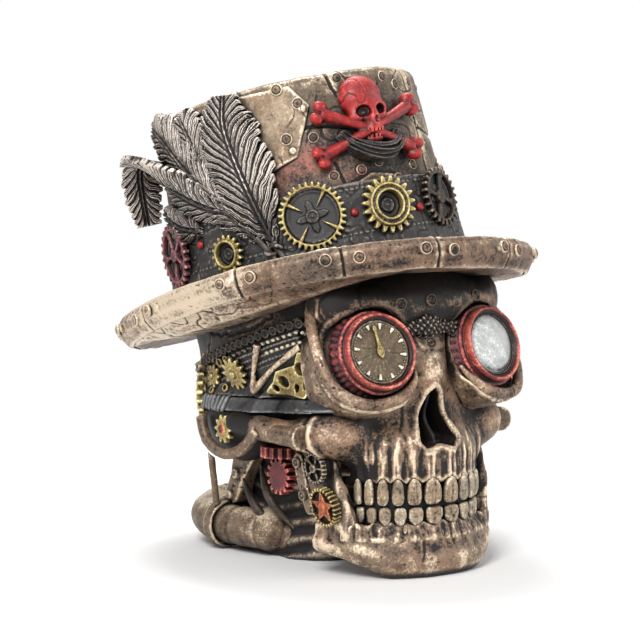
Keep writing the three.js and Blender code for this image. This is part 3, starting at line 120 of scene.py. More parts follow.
def value_noise(points, size, seed):
    """Smooth noise from 0 to 1 with lumps of about that size."""
    scaled = points / size
    cell = np.floor(scaled).astype(np.int64)
    part = scaled - cell
    part = part * part * (3 - 2 * part)
    total = 0
    for corner in range(8):
        step = np.array([corner & 1, (corner >> 1) & 1, (corner >> 2) & 1])
        weight = np.prod(np.where(step, part, 1 - part), axis=1)
        total = total + weight * lattice_value(*(cell + step).T, seed)
    return total


def rough_noise(points, size, seed, octaves=3):
    """Noise from -1 to 1 whose finer layers halve in size and strength."""
    total = 0
    strength = 1.0
    for layer in range(octaves):
        total = total + strength * (2 * value_noise(points, size / 2 ** layer, seed + layer) - 1)
        strength /= 2
    return total / (2 - 2 * strength)


def veins(points, size, seed, width):
    """1 on the thin lines where smooth noise crosses its middle, else 0."""
    return bell(rough_noise(points, size, seed, 2), width)


def patches(points, size, seed, low, high):
    """Smooth noise drawn apart into patches of 0 and 1 with soft edges."""
    return smooth_step(value_noise(points, size, seed), low, high)


def pits(points, size, seed, share):
    """1 in small pits; the larger the share, the fewer."""
    return patches(points, size, seed, share, share + 0.12)


# Distances

def ellipsoid(x, y, z, centre, radii):
    """About how far a place is from an ellipsoid."""
    sx, sy, sz = (x - centre[0]) / radii[0], (y - centre[1]) / radii[1], (z - centre[2]) / radii[2]
    near = np.sqrt(sx * sx + sy * sy + sz * sz)
    slope = np.sqrt((sx / radii[0]) ** 2 + (sy / radii[1]) ** 2 + (sz / radii[2]) ** 2)
    return near * (near - 1) / np.maximum(slope, 1e-6)


def capsule(x, y, z, start, end, radius):
    """How far a place is from a round bar with round ends."""
    along = end - start
    dx, dy, dz = x - start[0], y - start[1], z - start[2]
    share = np.clip((dx * along[0] + dy * along[1] + dz * along[2]) / (along @ along), 0, 1)
    dx, dy, dz = dx - share * along[0], dy - share * along[1], dz - share * along[2]
    return np.sqrt(dx * dx + dy * dy + dz * dz) - radius


def segment_distance(u, v, start, end):
    """Flat distance to a straight line between two places."""
    along = np.asarray(end, float) - start
    share = ((u - start[0]) * along[0] + (v - start[1]) * along[1]) / (along @ along + 1e-12)
    share = np.clip(share, 0, 1)
    return np.hypot(u - start[0] - share * along[0], v - start[1] - share * along[1])


def line_distance(u, v, points):
    """Flat distance to a line through several places."""
    points = np.asarray(points, float)
    nearest = segment_distance(u, v, points[0], points[1])
    for start, end in zip(points[1:-1], points[2:]):
        nearest = np.minimum(nearest, segment_distance(u, v, start, end))
    return nearest


def polygon_distance(u, v, outline):
    """Distance to the edge of a flat outline, negative inside."""
    outline = np.asarray(outline, float)
    nearest = np.full(np.broadcast(u, v).shape, 1e9)
    inside = np.zeros(nearest.shape, bool)
    for start, end in zip(outline, np.roll(outline, -1, axis=0)):
        nearest = np.minimum(nearest, segment_distance(u, v, start, end))
        crosses = ((start[1] > v) != (end[1] > v))
        rise = end[1] - start[1] if end[1] != start[1] else 1e-9
        inside ^= crosses & (u < (end[0] - start[0]) * (v - start[1]) / rise + start[0])
    return np.where(inside, -nearest, nearest)


# Relief

def groove(distance, width, depth):
    """The relief of a rounded groove."""
    return -depth * bell(distance, width)


def noise_relief(height, size, seed, octaves=3):
    """A relief of noise alone."""
    return lambda points, normals: height * rough_noise(points, size, seed, octaves)


# Drawn out upwards: points times this, given to noise, make upright streaks.
upright = (1, 1, 0.14)


# Meshes

class Form:
    """Points in millimetres and faces of three or four points."""

    def __init__(self, points, faces):
        self.points = np.asarray(points, float)
        self.faces = np.asarray(faces, np.int64)

    def triangles(self):
        if self.faces.shape[1] == 3:
            return self.faces
        return np.concatenate([self.faces[:, [0, 1, 2]], self.faces[:, [0, 2, 3]]])

    def moved(self, matrix, place=(0, 0, 0)):
        return Form(self.points @ np.asarray(matrix).T + np.asarray(place, float), self.faces)


def joined(forms):
    """One form of triangles from several."""
    points = []
    faces = []
    count = 0
    for form in forms:
        points.append(form.points)
        faces.append(form.triangles() + count)
        count += len(form.points)
    return Form(np.concatenate(points), np.concatenate(faces))


def edges_of(faces):
    sides = [faces[:, [k, (k + 1) % faces.shape[1]]] for k in range(faces.shape[1])]
    pairs = np.sort(np.concatenate(sides), axis=1)
    keys = np.unique(pairs[:, 0] * (pairs.max() + 1) + pairs[:, 1])
    return np.stack([keys // (pairs.max() + 1), keys % (pairs.max() + 1)], axis=1)


def normals_of(form):
    corners = form.points[form.faces]
    cross = np.cross(corners[:, 2] - corners[:, 0], corners[:, -1] - corners[:, 1])
    total = np.zeros_like(form.points)
    for corner in range(form.faces.shape[1]):
        for axis in range(3):
            total[:, axis] += np.bincount(form.faces[:, corner], cross[:, axis], len(form.points))
    return unit(total)


def evened(values, edges, rounds):
    """Values moved halfway to the mean of their neighbours, again and again."""
    count = len(values)
    links = np.bincount(edges.ravel(), minlength=count)
    links = np.maximum(links, 1)[:, None]
    for _ in range(rounds):
        total = np.empty_like(values)
        for axis in range(values.shape[1]):
            column = values[:, axis]
            total[:, axis] = np.bincount(edges[:, 0], column[edges[:, 1]], count)
            total[:, axis] += np.bincount(edges[:, 1], column[edges[:, 0]], count)
        values = values + 0.5 * (total / links - values)
    return values


def outward(form):
    """The form with its faces turned so that its volume is positive."""
    tri = form.points[form.triangles()]
    volume = np.einsum("ij,ij->", np.cross(tri[:, 0], tri[:, 1]), tri[:, 2])
    if volume < 0:
        form.faces = form.faces[:, ::-1].copy()
    return form


def even_quads(form, size):
    """The same solid with even small faces; closed shells that overlap become one."""
    space = openvdb.createLinearTransform(voxelSize=size)
    grid = openvdb.FloatGrid.createLevelSetFromPolygons(
        form.points.astype(np.float32), triangles=form.triangles().astype(np.uint32), transform=space,
    )
    points, quads = grid.convertToQuads(0.0)
    return outward(Form(points, quads))


def from_field(field, low, high, step):
    """The surface where a distance field is zero, inside a box."""
    axes = [np.arange(low[k], high[k] + step, step, dtype=np.float32) for k in range(3)]
    values = field(axes[0][:, None, None], axes[1][None, :, None], axes[2][None, None, :])
    values = np.broadcast_to(values, [len(axis) for axis in axes])
    band = 3 * step
    grid = openvdb.FloatGrid(band)
    grid.copyFromArray(np.ascontiguousarray(np.clip(values, -band, band), dtype=np.float32))
    points, quads = grid.convertToQuads(0.0)
    return outward(Form(points * step + np.asarray(low), quads))


def node_form(node):
    """A copy of a CAD node's shape."""
    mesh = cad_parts[node].data
    mesh.calc_loop_triangles()
    points = np.empty(len(mesh.vertices) * 3)
    mesh.vertices.foreach_get("co", points)
    faces = np.empty(len(mesh.loop_triangles) * 3, np.int32)
    mesh.loop_triangles.foreach_get("vertices", faces)
    return Form(points.reshape(-1, 3) / millimetre, faces.reshape(-1, 3))


def node_quads(node, size):
    """A CAD node's shape with even small faces."""
    return even_quads(node_form(node), size)


# Building blocks

def full_turn(count):
    """Even angles round a circle."""
    return np.linspace(0, 2 * math.pi, count, endpoint=False)


def swept(rings, closed_path=False):
    """A skin through closed rings of points, with a cap on each end of an open path."""
    rings = np.asarray(rings, float)
    count, sides, _ = rings.shape
    steps = count if closed_path else count - 1
    faces = []
    for i in range(steps):
        here = i * sides + np.arange(sides)
        there = ((i + 1) % count) * sides + np.arange(sides)
        faces.append(np.stack([here, np.roll(here, -1), np.roll(there, -1), there], axis=1))
    form = Form(rings.reshape(-1, 3), np.concatenate(faces))
    if closed_path:
        return Form(form.points, form.triangles())
    middles = np.stack([rings[0].mean(0), rings[-1].mean(0)])
    first, last = np.arange(sides), (count - 1) * sides + np.arange(sides)
    start = np.stack([np.roll(first, -1), first, np.full(sides, count * sides)], axis=1)
    end = np.stack([last, np.roll(last, -1), np.full(sides, count * sides + 1)], axis=1)
    return Form(np.concatenate([form.points, middles]), np.concatenate([form.triangles(), start, end]))


def closed_sheet(top, under):
    """A solid from an upper and a lower grid of points."""
    rows, columns, _ = top.shape
    faces = []
    index = np.arange(rows * columns).reshape(rows, columns)
    here = index[:-1, :-1].ravel()
    right = index[:-1, 1:].ravel()
    far = index[1:, 1:].ravel()
    left = index[1:, :-1].ravel()
    count = rows * columns
    faces.append(np.stack([here, right, far, left], axis=1))
    faces.append(np.stack([here, left, far, right], axis=1) + count)
    edge = np.concatenate([index[0, :-1], index[:-1, -1], index[-1, :0:-1], index[:0:-1, 0]])
    turn = np.roll(edge, -1)
    faces.append(np.stack([turn, edge, edge + count, turn + count], axis=1))
    form = Form(np.concatenate([top.reshape(-1, 3), under.reshape(-1, 3)]), np.concatenate(faces))
    return outward(form)


def turned(profile, sides, wave=None, ring=False):
    """A profile of radius and height turned about Z; a ring's profile joins its own start."""
    angle = full_turn(sides)
    rings = []
    for row, (radius, height) in enumerate(profile):
        wide = radius + (wave(angle, row) if wave else 0)
        rings.append(np.stack([wide * np.cos(angle), wide * np.sin(angle), np.full(sides, height)], axis=1))
    return outward(swept(rings, closed_path=ring))


def spline(points, count, closed=False):
    """Evenly spread points on a smooth curve through the given ones."""
    points = np.asarray(points, float)
    if closed:
        points = np.concatenate([points[-2:], points, points[:3]])
    else:
        points = np.concatenate([[2 * points[0] - points[1]], points, [2 * points[-1] - points[-2]]])
    spans = len(points) - 3
    result = []
    for span in range(spans):
        a, b, c, d = points[span:span + 4]
        for t in np.linspace(0, 1, 16, endpoint=False):
            result.append(0.5 * (2 * b + (c - a) * t + (2 * a - 5 * b + 4 * c - d) * t * t
                                 + (3 * b - a - 3 * c + d) * t ** 3))
    result.append(points[-2])
    result = np.array(result)
    if closed:
        result = result[16:-16 + 1]
    length = np.concatenate([[0], np.cumsum(np.linalg.norm(np.diff(result, axis=0), axis=1))])
    wanted = np.linspace(0, length[-1], count, endpoint=not closed)
    return np.stack([np.interp(wanted, length, result[:, k]) for k in range(result.shape[1])], axis=1)


def tube(points, radius, sides, closed=False, count=60):
    """A round bar along a curve; the radius is one number or a function of the share along it."""
    route = spline(points, count, closed)
    along = unit(np.gradient(route, axis=0))
    if closed:
        along = unit(np.roll(route, -1, axis=0) - np.roll(route, 1, axis=0))
    side = np.cross(along[0], (0.3, 0.2, 0.93))
    rings = []
    angle = full_turn(sides)[:, None]
    for index, (centre, direction) in enumerate(zip(route, along)):
        side = unit(side - direction * (side @ direction))
        other = np.cross(direction, side)
        wide = radius(index / (count - 1)) if callable(radius) else radius
        rings.append(centre + wide * (np.cos(angle) * side + np.sin(angle) * other))
    return swept(rings, closed_path=closed)


def ball(centre, radii, sides=20):
    rows = np.linspace(-0.99, 0.99, sides // 2 + 1)
    profile = [(math.sqrt(1 - row * row), row) for row in rows]
    form = turned(profile, sides)
    return Form(form.points * np.asarray(radii, float) + np.asarray(centre, float), form.faces)


def block(outline, low, high):
    """A straight prism; the outline is a list of points in order."""
    outline = np.asarray(outline, float)
    bottom = np.column_stack([outline, np.full(len(outline), low)])
    top = np.column_stack([outline, np.full(len(outline), high)])
    return swept([bottom, top])


def frame_at(place, outward, up=(0, 0, 1)):
    """Axes whose third is outward and whose second leans towards up, with the place."""
    outward = unit(np.asarray(outward, float))
    across = unit(np.cross(np.asarray(up, float), outward))
    return np.column_stack([across, np.cross(outward, across), outward]), np.asarray(place, float)


def rivet(radius, height):
    """A domed rivet with a ring pressed round it."""
    return turned([
        (radius * 1.45, -1.2), (radius * 1.45, height * 0.25), (radius * 1.22, height * 0.42),
        (radius * 1.02, height * 0.12), (radius * 0.94, height * 0.5), (radius * 0.7, height * 0.86),
        (radius * 0.36, height), (0.02, height * 1.04),
    ], 28)


def screw(radius, height, turn):
    """A flat screw head with a slot, turned by some degrees."""
    head = turned([
        (radius * 1.3, -1.2), (radius * 1.3, height * 0.4), (radius * 1.1, height * 0.4), (radius, height),
        (0.02, height * 1.05),
    ], 28)
    points = head.points
    flat = points[:, :2] @ rotation("Z", turn)[:2, :2]
    slot = (abs(flat[:, 1]) < radius * 0.2) & (points[:, 2] > height * 0.5)
    points[slot, 2] -= height * 0.6
    return head


def ringed_screw(radius, turn):
    """A slotted screw in a rounded washer."""
    washer = turned([
        (radius * 1.15, -1.0), (radius * 1.7, -1.0), (radius * 1.7, 0.35), (radius * 1.5, 0.6),
        (radius * 1.25, 0.5), (radius * 1.15, 0.1),
    ], 32, ring=True)
    return joined([washer, screw(radius * 0.95, 0.75, turn)])


def pinned_boss(radius, height):
    """A round boss with a pin standing in it."""
    return turned([
        (radius, 0), (radius, height), (radius * 0.78, height + 0.35), (radius * 0.62, height),
        (radius * 0.42, height), (radius * 0.4, height + 0.75), (0.02, height + 0.9),
    ], 28)


def star_form(points_out, wide, narrow, depth):
    """A flat star with a low peak in its middle."""
    outline = []
    for step in range(2 * points_out):
        turn = math.pi * step / points_out
        away = wide if step % 2 == 0 else narrow
        outline.append((away * math.sin(turn), away * math.cos(turn)))
    low = block(outline, 0, depth * 0.75)
    peak = turned([(narrow * 0.9, depth * 0.7), (narrow * 0.6, depth * 1.05), (0.02, depth * 1.15)], 20)
    return joined([low, peak])


def gear_distance(u, v, gear):
    """Flat distance to a spoked gear's outline; teeth, rim, hub and tapering spokes."""
    radius, tooth_length, teeth = gear["radius"], gear["tooth"], gear["teeth"]
    away = np.hypot(u, v)
    turn = np.arctan2(v, u)
    wave = np.cos(turn * teeth)
    square = np.clip(wave * gear.get("sharp", 1.7), -1, 1)
    body = away - (radius - tooth_length / 2 + square * tooth_length / 2)
    body = body / np.sqrt(1 + (tooth_length * teeth / radius) ** 2 * 0.25 * (away > radius - tooth_length))
    window = np.maximum(away - gear["rim"], gear["hub"] - away)
    if gear.get("spokes"):
        step = 2 * math.pi / gear["spokes"]
        local = (turn + gear.get("turn", 0)) % step
        from_spoke = away * np.sin(np.minimum(local, step - local))
        share = np.clip((away - gear["hub"]) / (gear["rim"] - gear["hub"]), 0, 1)
        bar = gear["bar"] * (0.55 + 0.2 * share + 1.1 * share ** 5)
        if gear.get("pointed"):
            bar = gear["bar"] * 1.9 * (share - 0.3)
        window = blend_max(window, bar - from_spoke, 0.5)
    return blend_max(body, -window, 0.35)


def gear_form(gear, step=0.27):
    """The gear as a solid on Z from 0 to its depth, with softened edges and a raised rim."""
    depth = gear["depth"]
    reach = gear["radius"] + 0.8
    middle = (gear["rim"] + gear["hub"]) / 2
    half = (gear["rim"] - gear["hub"]) / 2

    def field(x, y, z):
        away = np.hypot(x, y)
        dish = gear.get("dish", 0.5) * smooth_step(np.abs(away - middle) - half, 0.2, -0.4)
        return blend_max(gear_distance(x, y, gear), np.maximum(z - depth + dish, -z), 0.45)

    return from_field(field, (-reach, -reach, -0.8), (reach, reach, depth + 0.9), step)


# Materials

def linear(colour):
    """A colour written in 0 to 255 screen values as scene values, with full cover."""
    shares = [value / 255 for value in colour]
    return tuple(((s + 0.055) / 1.055) ** 2.4 if s > 10 / 255 else s / 12.92 for s in shares) + (1.0,)


class Nodes:
    """Short calls for building one material's nodes."""

    def __init__(self, name):
        self.material = bpy.data.materials.new(name)
        self.material.use_nodes = True
        self.tree = self.material.node_tree
        self.shader = self.tree.nodes["Principled BSDF"]

    def add(self, kind, **settings):
        node = self.tree.nodes.new(kind)
        for key, value in settings.items():
            setattr(node, key, value)
        return node

    def link(self, source, target):
        self.tree.links.new(source, target)

    def set(self, socket, value):
        if isinstance(value, bpy.types.NodeSocket):
            self.link(value, socket)
        else:
            socket.default_value = value

    def noise(self, scale, detail, roughness):
        place = self.add("ShaderNodeTexCoord").outputs["Object"]
        node = self.add("ShaderNodeTexNoise")
        self.link(place, node.inputs["Vector"])
        node.inputs["Scale"].default_value = scale
        node.inputs["Detail"].default_value = detail
        node.inputs["Roughness"].default_value = roughness
        return node.outputs["Fac"]

    def ramp(self, source, low, high, out_low=0.0, out_high=1.0):
        node = self.add("ShaderNodeMapRange", interpolation_type="SMOOTHSTEP")
        self.set(node.inputs["Value"], source)
        node.inputs["From Min"].default_value = low
        node.inputs["From Max"].default_value = high
        node.inputs["To Min"].default_value = out_low
        node.inputs["To Max"].default_value = out_high
        return node.outputs["Result"]

    def math(self, operation, a, b):
        node = self.add("ShaderNodeMath", operation=operation, use_clamp=True)
        self.set(node.inputs[0], a)
        self.set(node.inputs[1], b)
        return node.outputs["Value"]

    def mix(self, share, a, b):
        node = self.add("ShaderNodeMix", data_type="RGBA")
        self.set(node.inputs["Factor"], share)
        self.set(node.inputs["A"], a)
        self.set(node.inputs["B"], b)
        return node.outputs["Result"]


# How far ambient occlusion looks for a crevice, and the height of the finest bumps, in metres.
crevice_reach = 0.004
bump_height = 0.00025

# How much of the wash is in the dust on a paint.
dust_share = 0.64


def worn_paint(name, base, light, dark, tint, roughness=0.5, metal=0.0, wash=1.0, brush=1.0, dust=0.55,
               bump=0.4):
    """Paint over a cast: a dark wash in the recesses, dry brushing on the ridges, and speckle; the painted
    shade and highlights that some pieces carry in their wear attribute darken and lighten it the same way.
    """
    make = Nodes(name)
    wear_and_painted_light = make.add("ShaderNodeAttribute", attribute_name="wear_and_painted_light").outputs["Fac"]
    hue = make.add("ShaderNodeAttribute", attribute_name="hue").outputs["Fac"]
    speckle = make.noise(1100, 3, 0.75)
    blotch = make.noise(190, 5, 0.7)
    shadow = make.add("ShaderNodeAmbientOcclusion", samples=6)
    shadow.inputs["Distance"].default_value = crevice_reach
    colour = make.mix(hue, linear(base), linear(tint))
    mottle = make.ramp(blotch, 0.42, 0.72, 0.0, dust)
    dusty = [dust_share * d + (1 - dust_share) * b for b, d in zip(base, dark)]
    colour = make.mix(mottle, colour, linear(dusty))
    lifted = make.math("ADD", wear_and_painted_light, make.ramp(speckle, 0.3, 0.72, -0.13, 0.15))
    lifted = make.math("ADD", lifted, make.ramp(blotch, 0.3, 0.7, 0.06, -0.08))
    ridge = make.math("MULTIPLY", make.ramp(lifted, 0.53, 0.86), brush)
    colour = make.mix(ridge, colour, linear(light))
    recess = make.ramp(lifted, 0.51, 0.17)
    crevice = make.ramp(shadow.outputs["AO"], 0.86, 0.36)
    # The wash also lays on the painted shade that some pieces carry in their wear attribute.
    wash_and_painted_shade = make.math("MULTIPLY", make.math("MAXIMUM", recess, crevice), wash)
    colour = make.mix(wash_and_painted_shade, colour, linear(dark))
    make.link(colour, make.shader.inputs["Base Color"])
    polish = make.ramp(ridge, 0, 1, roughness + 0.06, roughness - 0.14)
    make.link(polish, make.shader.inputs["Roughness"])
    make.shader.inputs["Metallic"].default_value = metal
    relief = make.add("ShaderNodeBump")
    relief.inputs["Strength"].default_value = bump
    relief.inputs["Distance"].default_value = bump_height
    height = make.math("ADD", make.noise(1500, 4, 0.7), make.math("MULTIPLY", blotch, 0.6))
    make.link(height, relief.inputs["Height"])
    make.link(relief.outputs["Normal"], make.shader.inputs["Normal"])
    return make.material


# Each paint's base colour, dry brushing, wash and second base colour, and how its finish differs.
paints = {
    "aged_bone": ((130, 109, 90), (226, 205, 176), (20, 15, 13), (146, 116, 94), dict(metal=0.35)),
    "teeth": ((162, 146, 124), (240, 230, 208), (14, 10, 8), (152, 128, 100), dict(metal=0.1)),
    "tick_paint": ((214, 204, 178), (240, 234, 216), (60, 50, 40), (214, 204, 178),
                   dict(dust=0.15, wash=0.5)),
    "hat_bronze": ((106, 89, 73), (206, 188, 160), (18, 13, 12), (150, 92, 78), dict(metal=0.35, brush=0.85)),
    "brim_bronze": ((114, 96, 79), (222, 203, 176), (20, 15, 13), (132, 104, 84),
                    dict(metal=0.35, brush=0.8)),
    "patch_bronze": ((150, 131, 108), (222, 206, 180), (28, 21, 18), (136, 112, 88),
                     dict(metal=0.35, dust=0.4)),
    "bronze_paint": ((116, 98, 80), (216, 197, 168), (22, 17, 15), (128, 104, 84), dict(metal=0.35)),
    "dark_bronze": ((64, 55, 48), (166, 150, 130), (13, 11, 10), (78, 63, 53), dict(metal=0.35)),
    "brass_paint": ((172, 152, 94), (240, 226, 170), (26, 20, 12), (154, 132, 78),
                    dict(roughness=0.4, metal=0.35, dust=0.35)),
    "copper_red": ((176, 80, 66), (246, 158, 130), (24, 7, 9), (146, 50, 50),
                   dict(roughness=0.42, metal=0.15, dust=0.6)),
    "star_copper": ((176, 96, 62), (240, 184, 128), (36, 16, 12), (158, 70, 48), dict(metal=0.4)),
    "dark_red": ((118, 42, 44), (222, 122, 108), (14, 5, 7), (100, 26, 32), dict(dust=0.6)),
    "dusty_red": ((118, 62, 66), (206, 150, 144), (18, 9, 11), (102, 48, 55), {}),
    "red_paint": ((160, 29, 27), (236, 90, 78), (34, 5, 7), (150, 24, 25),
                  dict(roughness=0.36, dust=0.6, brush=0.7)),
    "black_leather_look": ((38, 34, 33), (122, 112, 104), (7, 7, 7), (46, 40, 38), {}),
    "grey_rubber_look": ((58, 58, 60), (110, 110, 111), (13, 13, 14), (58, 58, 60),
                         dict(bump=0.15, dust=0.3)),
    "silver_grey": ((86, 77, 71), (212, 201, 190), (12, 10, 10), (100, 88, 79), dict(metal=0.3)),
    "dial_face": ((84, 71, 54), (158, 140, 110), (24, 19, 15), (100, 82, 60), dict(dust=0.7)),
    "pale_lens": ((174, 177, 175), (238, 240, 238), (64, 66, 60), (174, 177, 175),
                  dict(roughness=0.22, bump=0.05, dust=0.1)),
}
materials = {name: worn_paint(name, *colours, **finish) for name, (*colours, finish) in paints.items()}


def slot_of(node):
    """The slot of a CAD node's material."""
    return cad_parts[node].material_slots[0].material.name.split(".")[0]


# Cast pieces

# How strongly fine, middle and broad relief show in the wash and the dry brushing, per millimetre.
relief_gains = ((2, 2.2), (9, 1.25), (40, 0.4))

# The size of the lumps of the cast's grain in millimetres, and the number of its noise.
grain_size = 2.6
grain_seed = 1

# The CAD nodes that a cast piece stands for already.
dressed = set()


def wear_of(form, edges, normals):
    """0 in a recess, 0.5 on flat ground and 1 on a ridge."""
    wear_and_painted_light = np.full(len(form.points), 0.5)
    done = 0
    points = form.points
    for rounds, gain in relief_gains:
        points = evened(points, edges, rounds - done)
        done = rounds
        height = np.einsum("ij,ij->i", form.points - points, normals)
        wear_and_painted_light += gain * (height - np.median(height))
    return np.clip(evened(wear_and_painted_light[:, None], edges, 1)[:, 0], 0, 1)


def added(thing_name, data):
    """An object in the scene for some data."""
    thing = bpy.data.objects.new(thing_name, data)
    bpy.context.scene.collection.objects.link(thing)
    return thing


def new_object(name, form, wear_and_painted_light, hue, material):
    """A smooth shaded mesh with its wear, painted shade and highlights included, and its tint stored at each
    point.
    """
    mesh = bpy.data.meshes.new(name)
    count, corners = form.faces.shape
    mesh.vertices.add(len(form.points))
    mesh.vertices.foreach_set("co", (form.points * millimetre).astype(np.float32).ravel())
    mesh.loops.add(count * corners)
    mesh.loops.foreach_set("vertex_index", form.faces.astype(np.int32).ravel())
    mesh.polygons.add(count)
    mesh.polygons.foreach_set("loop_start", np.arange(0, count * corners, corners, dtype=np.int32))
    mesh.polygons.foreach_set("use_smooth", np.ones(count, bool))
    mesh.update(calc_edges=True)
    for title, values in (("wear_and_painted_light", wear_and_painted_light), ("hue", hue)):
        layer = mesh.attributes.new(title, "FLOAT", "POINT")
        layer.data.foreach_set("value", np.asarray(values, np.float32))
    mesh.materials.append(material)
    return added(name, mesh)


def cast(name, form, paint, nodes=(), smooth=2, relief=None, stain_and_painted_light=0, tint=None, grain=0.06):
    """One cast piece: evened, given its relief and grain, and standing for its CAD nodes.

    A stain darkens the piece, and on some pieces it also holds painted shade and painted highlights; a tint
    is the share of the paint's second colour.
    """
    edges = edges_of(form.faces)
    form.points = evened(form.points, edges, smooth)
    normals = normals_of(form)
    shift = grain * rough_noise(form.points, grain_size, grain_seed) if grain else 0
    if relief is not None:
        shift = shift + relief(form.points, normals)
    if grain or relief is not None:
        form.points = form.points + normals * np.reshape(shift, (-1, 1))
        normals = normals_of(form)
    form.points = np.clip(form.points, *(np.array(cad_box) / millimetre))
    # The stain goes into the wear attribute: real stains, and on some pieces painted shade and painted
    # highlights.
    wear_and_painted_light = np.clip(wear_of(form, edges, normals) - value_at(stain_and_painted_light, form.points), 0, 1)
    if tint is None:
        hue = patches(form.points, 14.0, 5, 0.35, 0.75)
    else:
        hue = value_at(tint, form.points) + 0 * wear_and_painted_light
    thing = new_object(name, form, wear_and_painted_light, hue, materials[paint])
    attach(thing, "root")
    if nodes:
        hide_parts(*nodes)
    dressed.update(nodes)


# Camera, light and floor

def facing(thing, place, direction):
    """Stands a camera or a lamp at a place and points it along a direction."""
    thing.location = place
    thing.rotation_mode = "QUATERNION"
    thing.rotation_quaternion = direction.to_track_quat("-Z", "Y")


# The camera that the photograph was taken with, as far as it can be told from it, in radians, metres and
# pixels; only the sensor's width is in millimetres.
camera_azimuth = math.radians(-37)
camera_elevation = math.radians(4.5)
camera_distance = 0.9
focal_pixels = 2412
image_pixels = 640
sensor_width = 36
middle_height = 0.087
middle_shift_pixels = 14


def stand_camera():
    level = math.cos(camera_elevation)
    height = math.sin(camera_elevation)
    back = Vector((math.sin(camera_azimuth) * level, -math.cos(camera_azimuth) * level, height))
    right = (-back).cross(Vector((0, 0, 1))).normalized()
    target = Vector((0, 0, middle_height)) - right * (middle_shift_pixels / focal_pixels * camera_distance)
    data = bpy.data.cameras.new("camera")
    data.sensor_width = sensor_width
    data.lens = sensor_width * focal_pixels / image_pixels
    camera = added("camera", data)
    facing(camera, target + back * camera_distance, -back)
    bpy.context.scene.camera = camera


def soft_lamp(name, place, target, size, power):
    """A square lamp in metres and watts."""
    data = bpy.data.lights.new(name, "AREA")
    data.size = size
    data.energy = power
    facing(added(name, data), place, Vector(target) - Vector(place))


def white_background(tree, plain):
    """1 where a camera, mirror or glass ray sees the surface straight, so that it can show plain white."""
    path = tree.nodes.new("ShaderNodeLightPath")
    seen = None
    for ray in ("Is Camera Ray", "Is Glossy Ray", "Is Transmission Ray"):
        if seen is None:
            seen = path.outputs[ray]
            continue
        add = tree.nodes.new("ShaderNodeMath")
        add.operation = "ADD"
        add.use_clamp = True
        tree.links.new(seen, add.inputs[0])
        tree.links.new(path.outputs[ray], add.inputs[1])
        seen = add.outputs["Value"]
    strength = tree.nodes.new("ShaderNodeMapRange")
    strength.inputs["To Min"].default_value = plain
    strength.inputs["To Max"].default_value = 1.0
    tree.links.new(seen, strength.inputs["Value"])
    return strength.outputs["Result"]


# How bright the white surroundings are where they only light the object.
plain_strength = 0.5


def light_scene():
    world = bpy.data.worlds.new("studio")
    bpy.context.scene.world = world
    world.use_nodes = True
    background = world.node_tree.nodes["Background"]
    background.inputs["Color"].default_value = (1, 1, 1, 1)
    strength = white_background(world.node_tree, plain_strength)
    world.node_tree.links.new(strength, background.inputs["Strength"])
    soft_lamp("key", (-0.75, -0.6, 0.7), (0, 0, 0.09), 0.4, 12.0)
    soft_lamp("fill", (0.7, -0.6, 0.35), (0, 0, 0.09), 0.6, 2.5)
    soft_lamp("top", (0.1, 0.3, 0.9), (0, 0, 0.1), 0.4, 7.0)


# Half the floor's side and where it fades to white, in metres from the object's middle.
floor_half = 3.0
fade_start = 0.12
fade_end = 0.42
floor_colour = (0.86, 0.86, 0.86, 1)


def lay_floor():
    """A pale floor that keeps the object's shadow and fades to plain white further off."""
    mesh = bpy.data.meshes.new("floor")
    corners = [(x * floor_half, y * floor_half, 0) for x, y in ((-1, -1), (1, -1), (1, 1), (-1, 1))]
    mesh.from_pydata(corners, [], [(0, 1, 2, 3)])
    floor = added("floor", mesh)
    make = Nodes("floor")
    make.link(make.ramp(make.noise(3, 2, 0.6), 0, 1, 0.9, 0.94), make.shader.inputs["Roughness"])
    make.shader.inputs["Base Color"].default_value = floor_colour
    white = make.add("ShaderNodeEmission")
    white.inputs["Color"].default_value = (1, 1, 1, 1)
    make.link(white_background(make.tree, plain_strength), white.inputs["Strength"])
    place = make.add("ShaderNodeTexCoord").outputs["Object"]
    away = make.add("ShaderNodeVectorMath", operation="LENGTH")
    make.link(place, away.inputs[0])
    mixed = make.add("ShaderNodeMixShader")
    make.link(make.ramp(away.outputs["Value"], fade_start, fade_end), mixed.inputs["Fac"])
    make.link(make.shader.outputs["BSDF"], mixed.inputs[1])
    make.link(white.outputs["Emission"], mixed.inputs[2])
    make.link(mixed.outputs["Shader"], make.tree.nodes["Material Output"].inputs["Surface"])
    mesh.materials.append(make.material)


# Plain skull

# Rounded lumps of the skull: where each is and its radii, as shares of the skull's size.
lump_shares = [
    ((0, 0.05, 0.9), (1, 0.97, 0.48)),
    ((0, 0.35, 0.66), (0.78, 0.62, 0.24)),
    ((0, -0.6, 0.66), (0.74, 0.34, 0.3)),
    ((0.69, -0.66, 0.517), (0.24, 0.205, 0.093)),
    ((-0.69, -0.66, 0.517), (0.24, 0.205, 0.093)),
    ((0, -0.76, 0.445), (0.54, 0.29, 0.135)),
    ((0, -0.73, 0.385), (0.5, 0.285, 0.07)),
    ((0, -0.78, 0.97), (0.72, 0.18, 0.08)),
    ((0, -0.88, 0.73), (0.13, 0.11, 0.14)),
    ((0.72, 0.16, 0.52), (0.26, 0.3, 0.16)),
    ((-0.72, 0.16, 0.52), (0.26, 0.3, 0.16)),
]

# How far the rounded lumps of the skull flow into each other.
skull_blend = 6.0

# The cheek's bar on each side: where it starts and ends, its radius and how far it flows into the skull.
arch_front_share = np.array([0.88, -0.62, 0.5])
arch_rear_share = np.array([0.98, -0.05, 0.52])
arch_radius = 4.5
arch_blend = 4.0


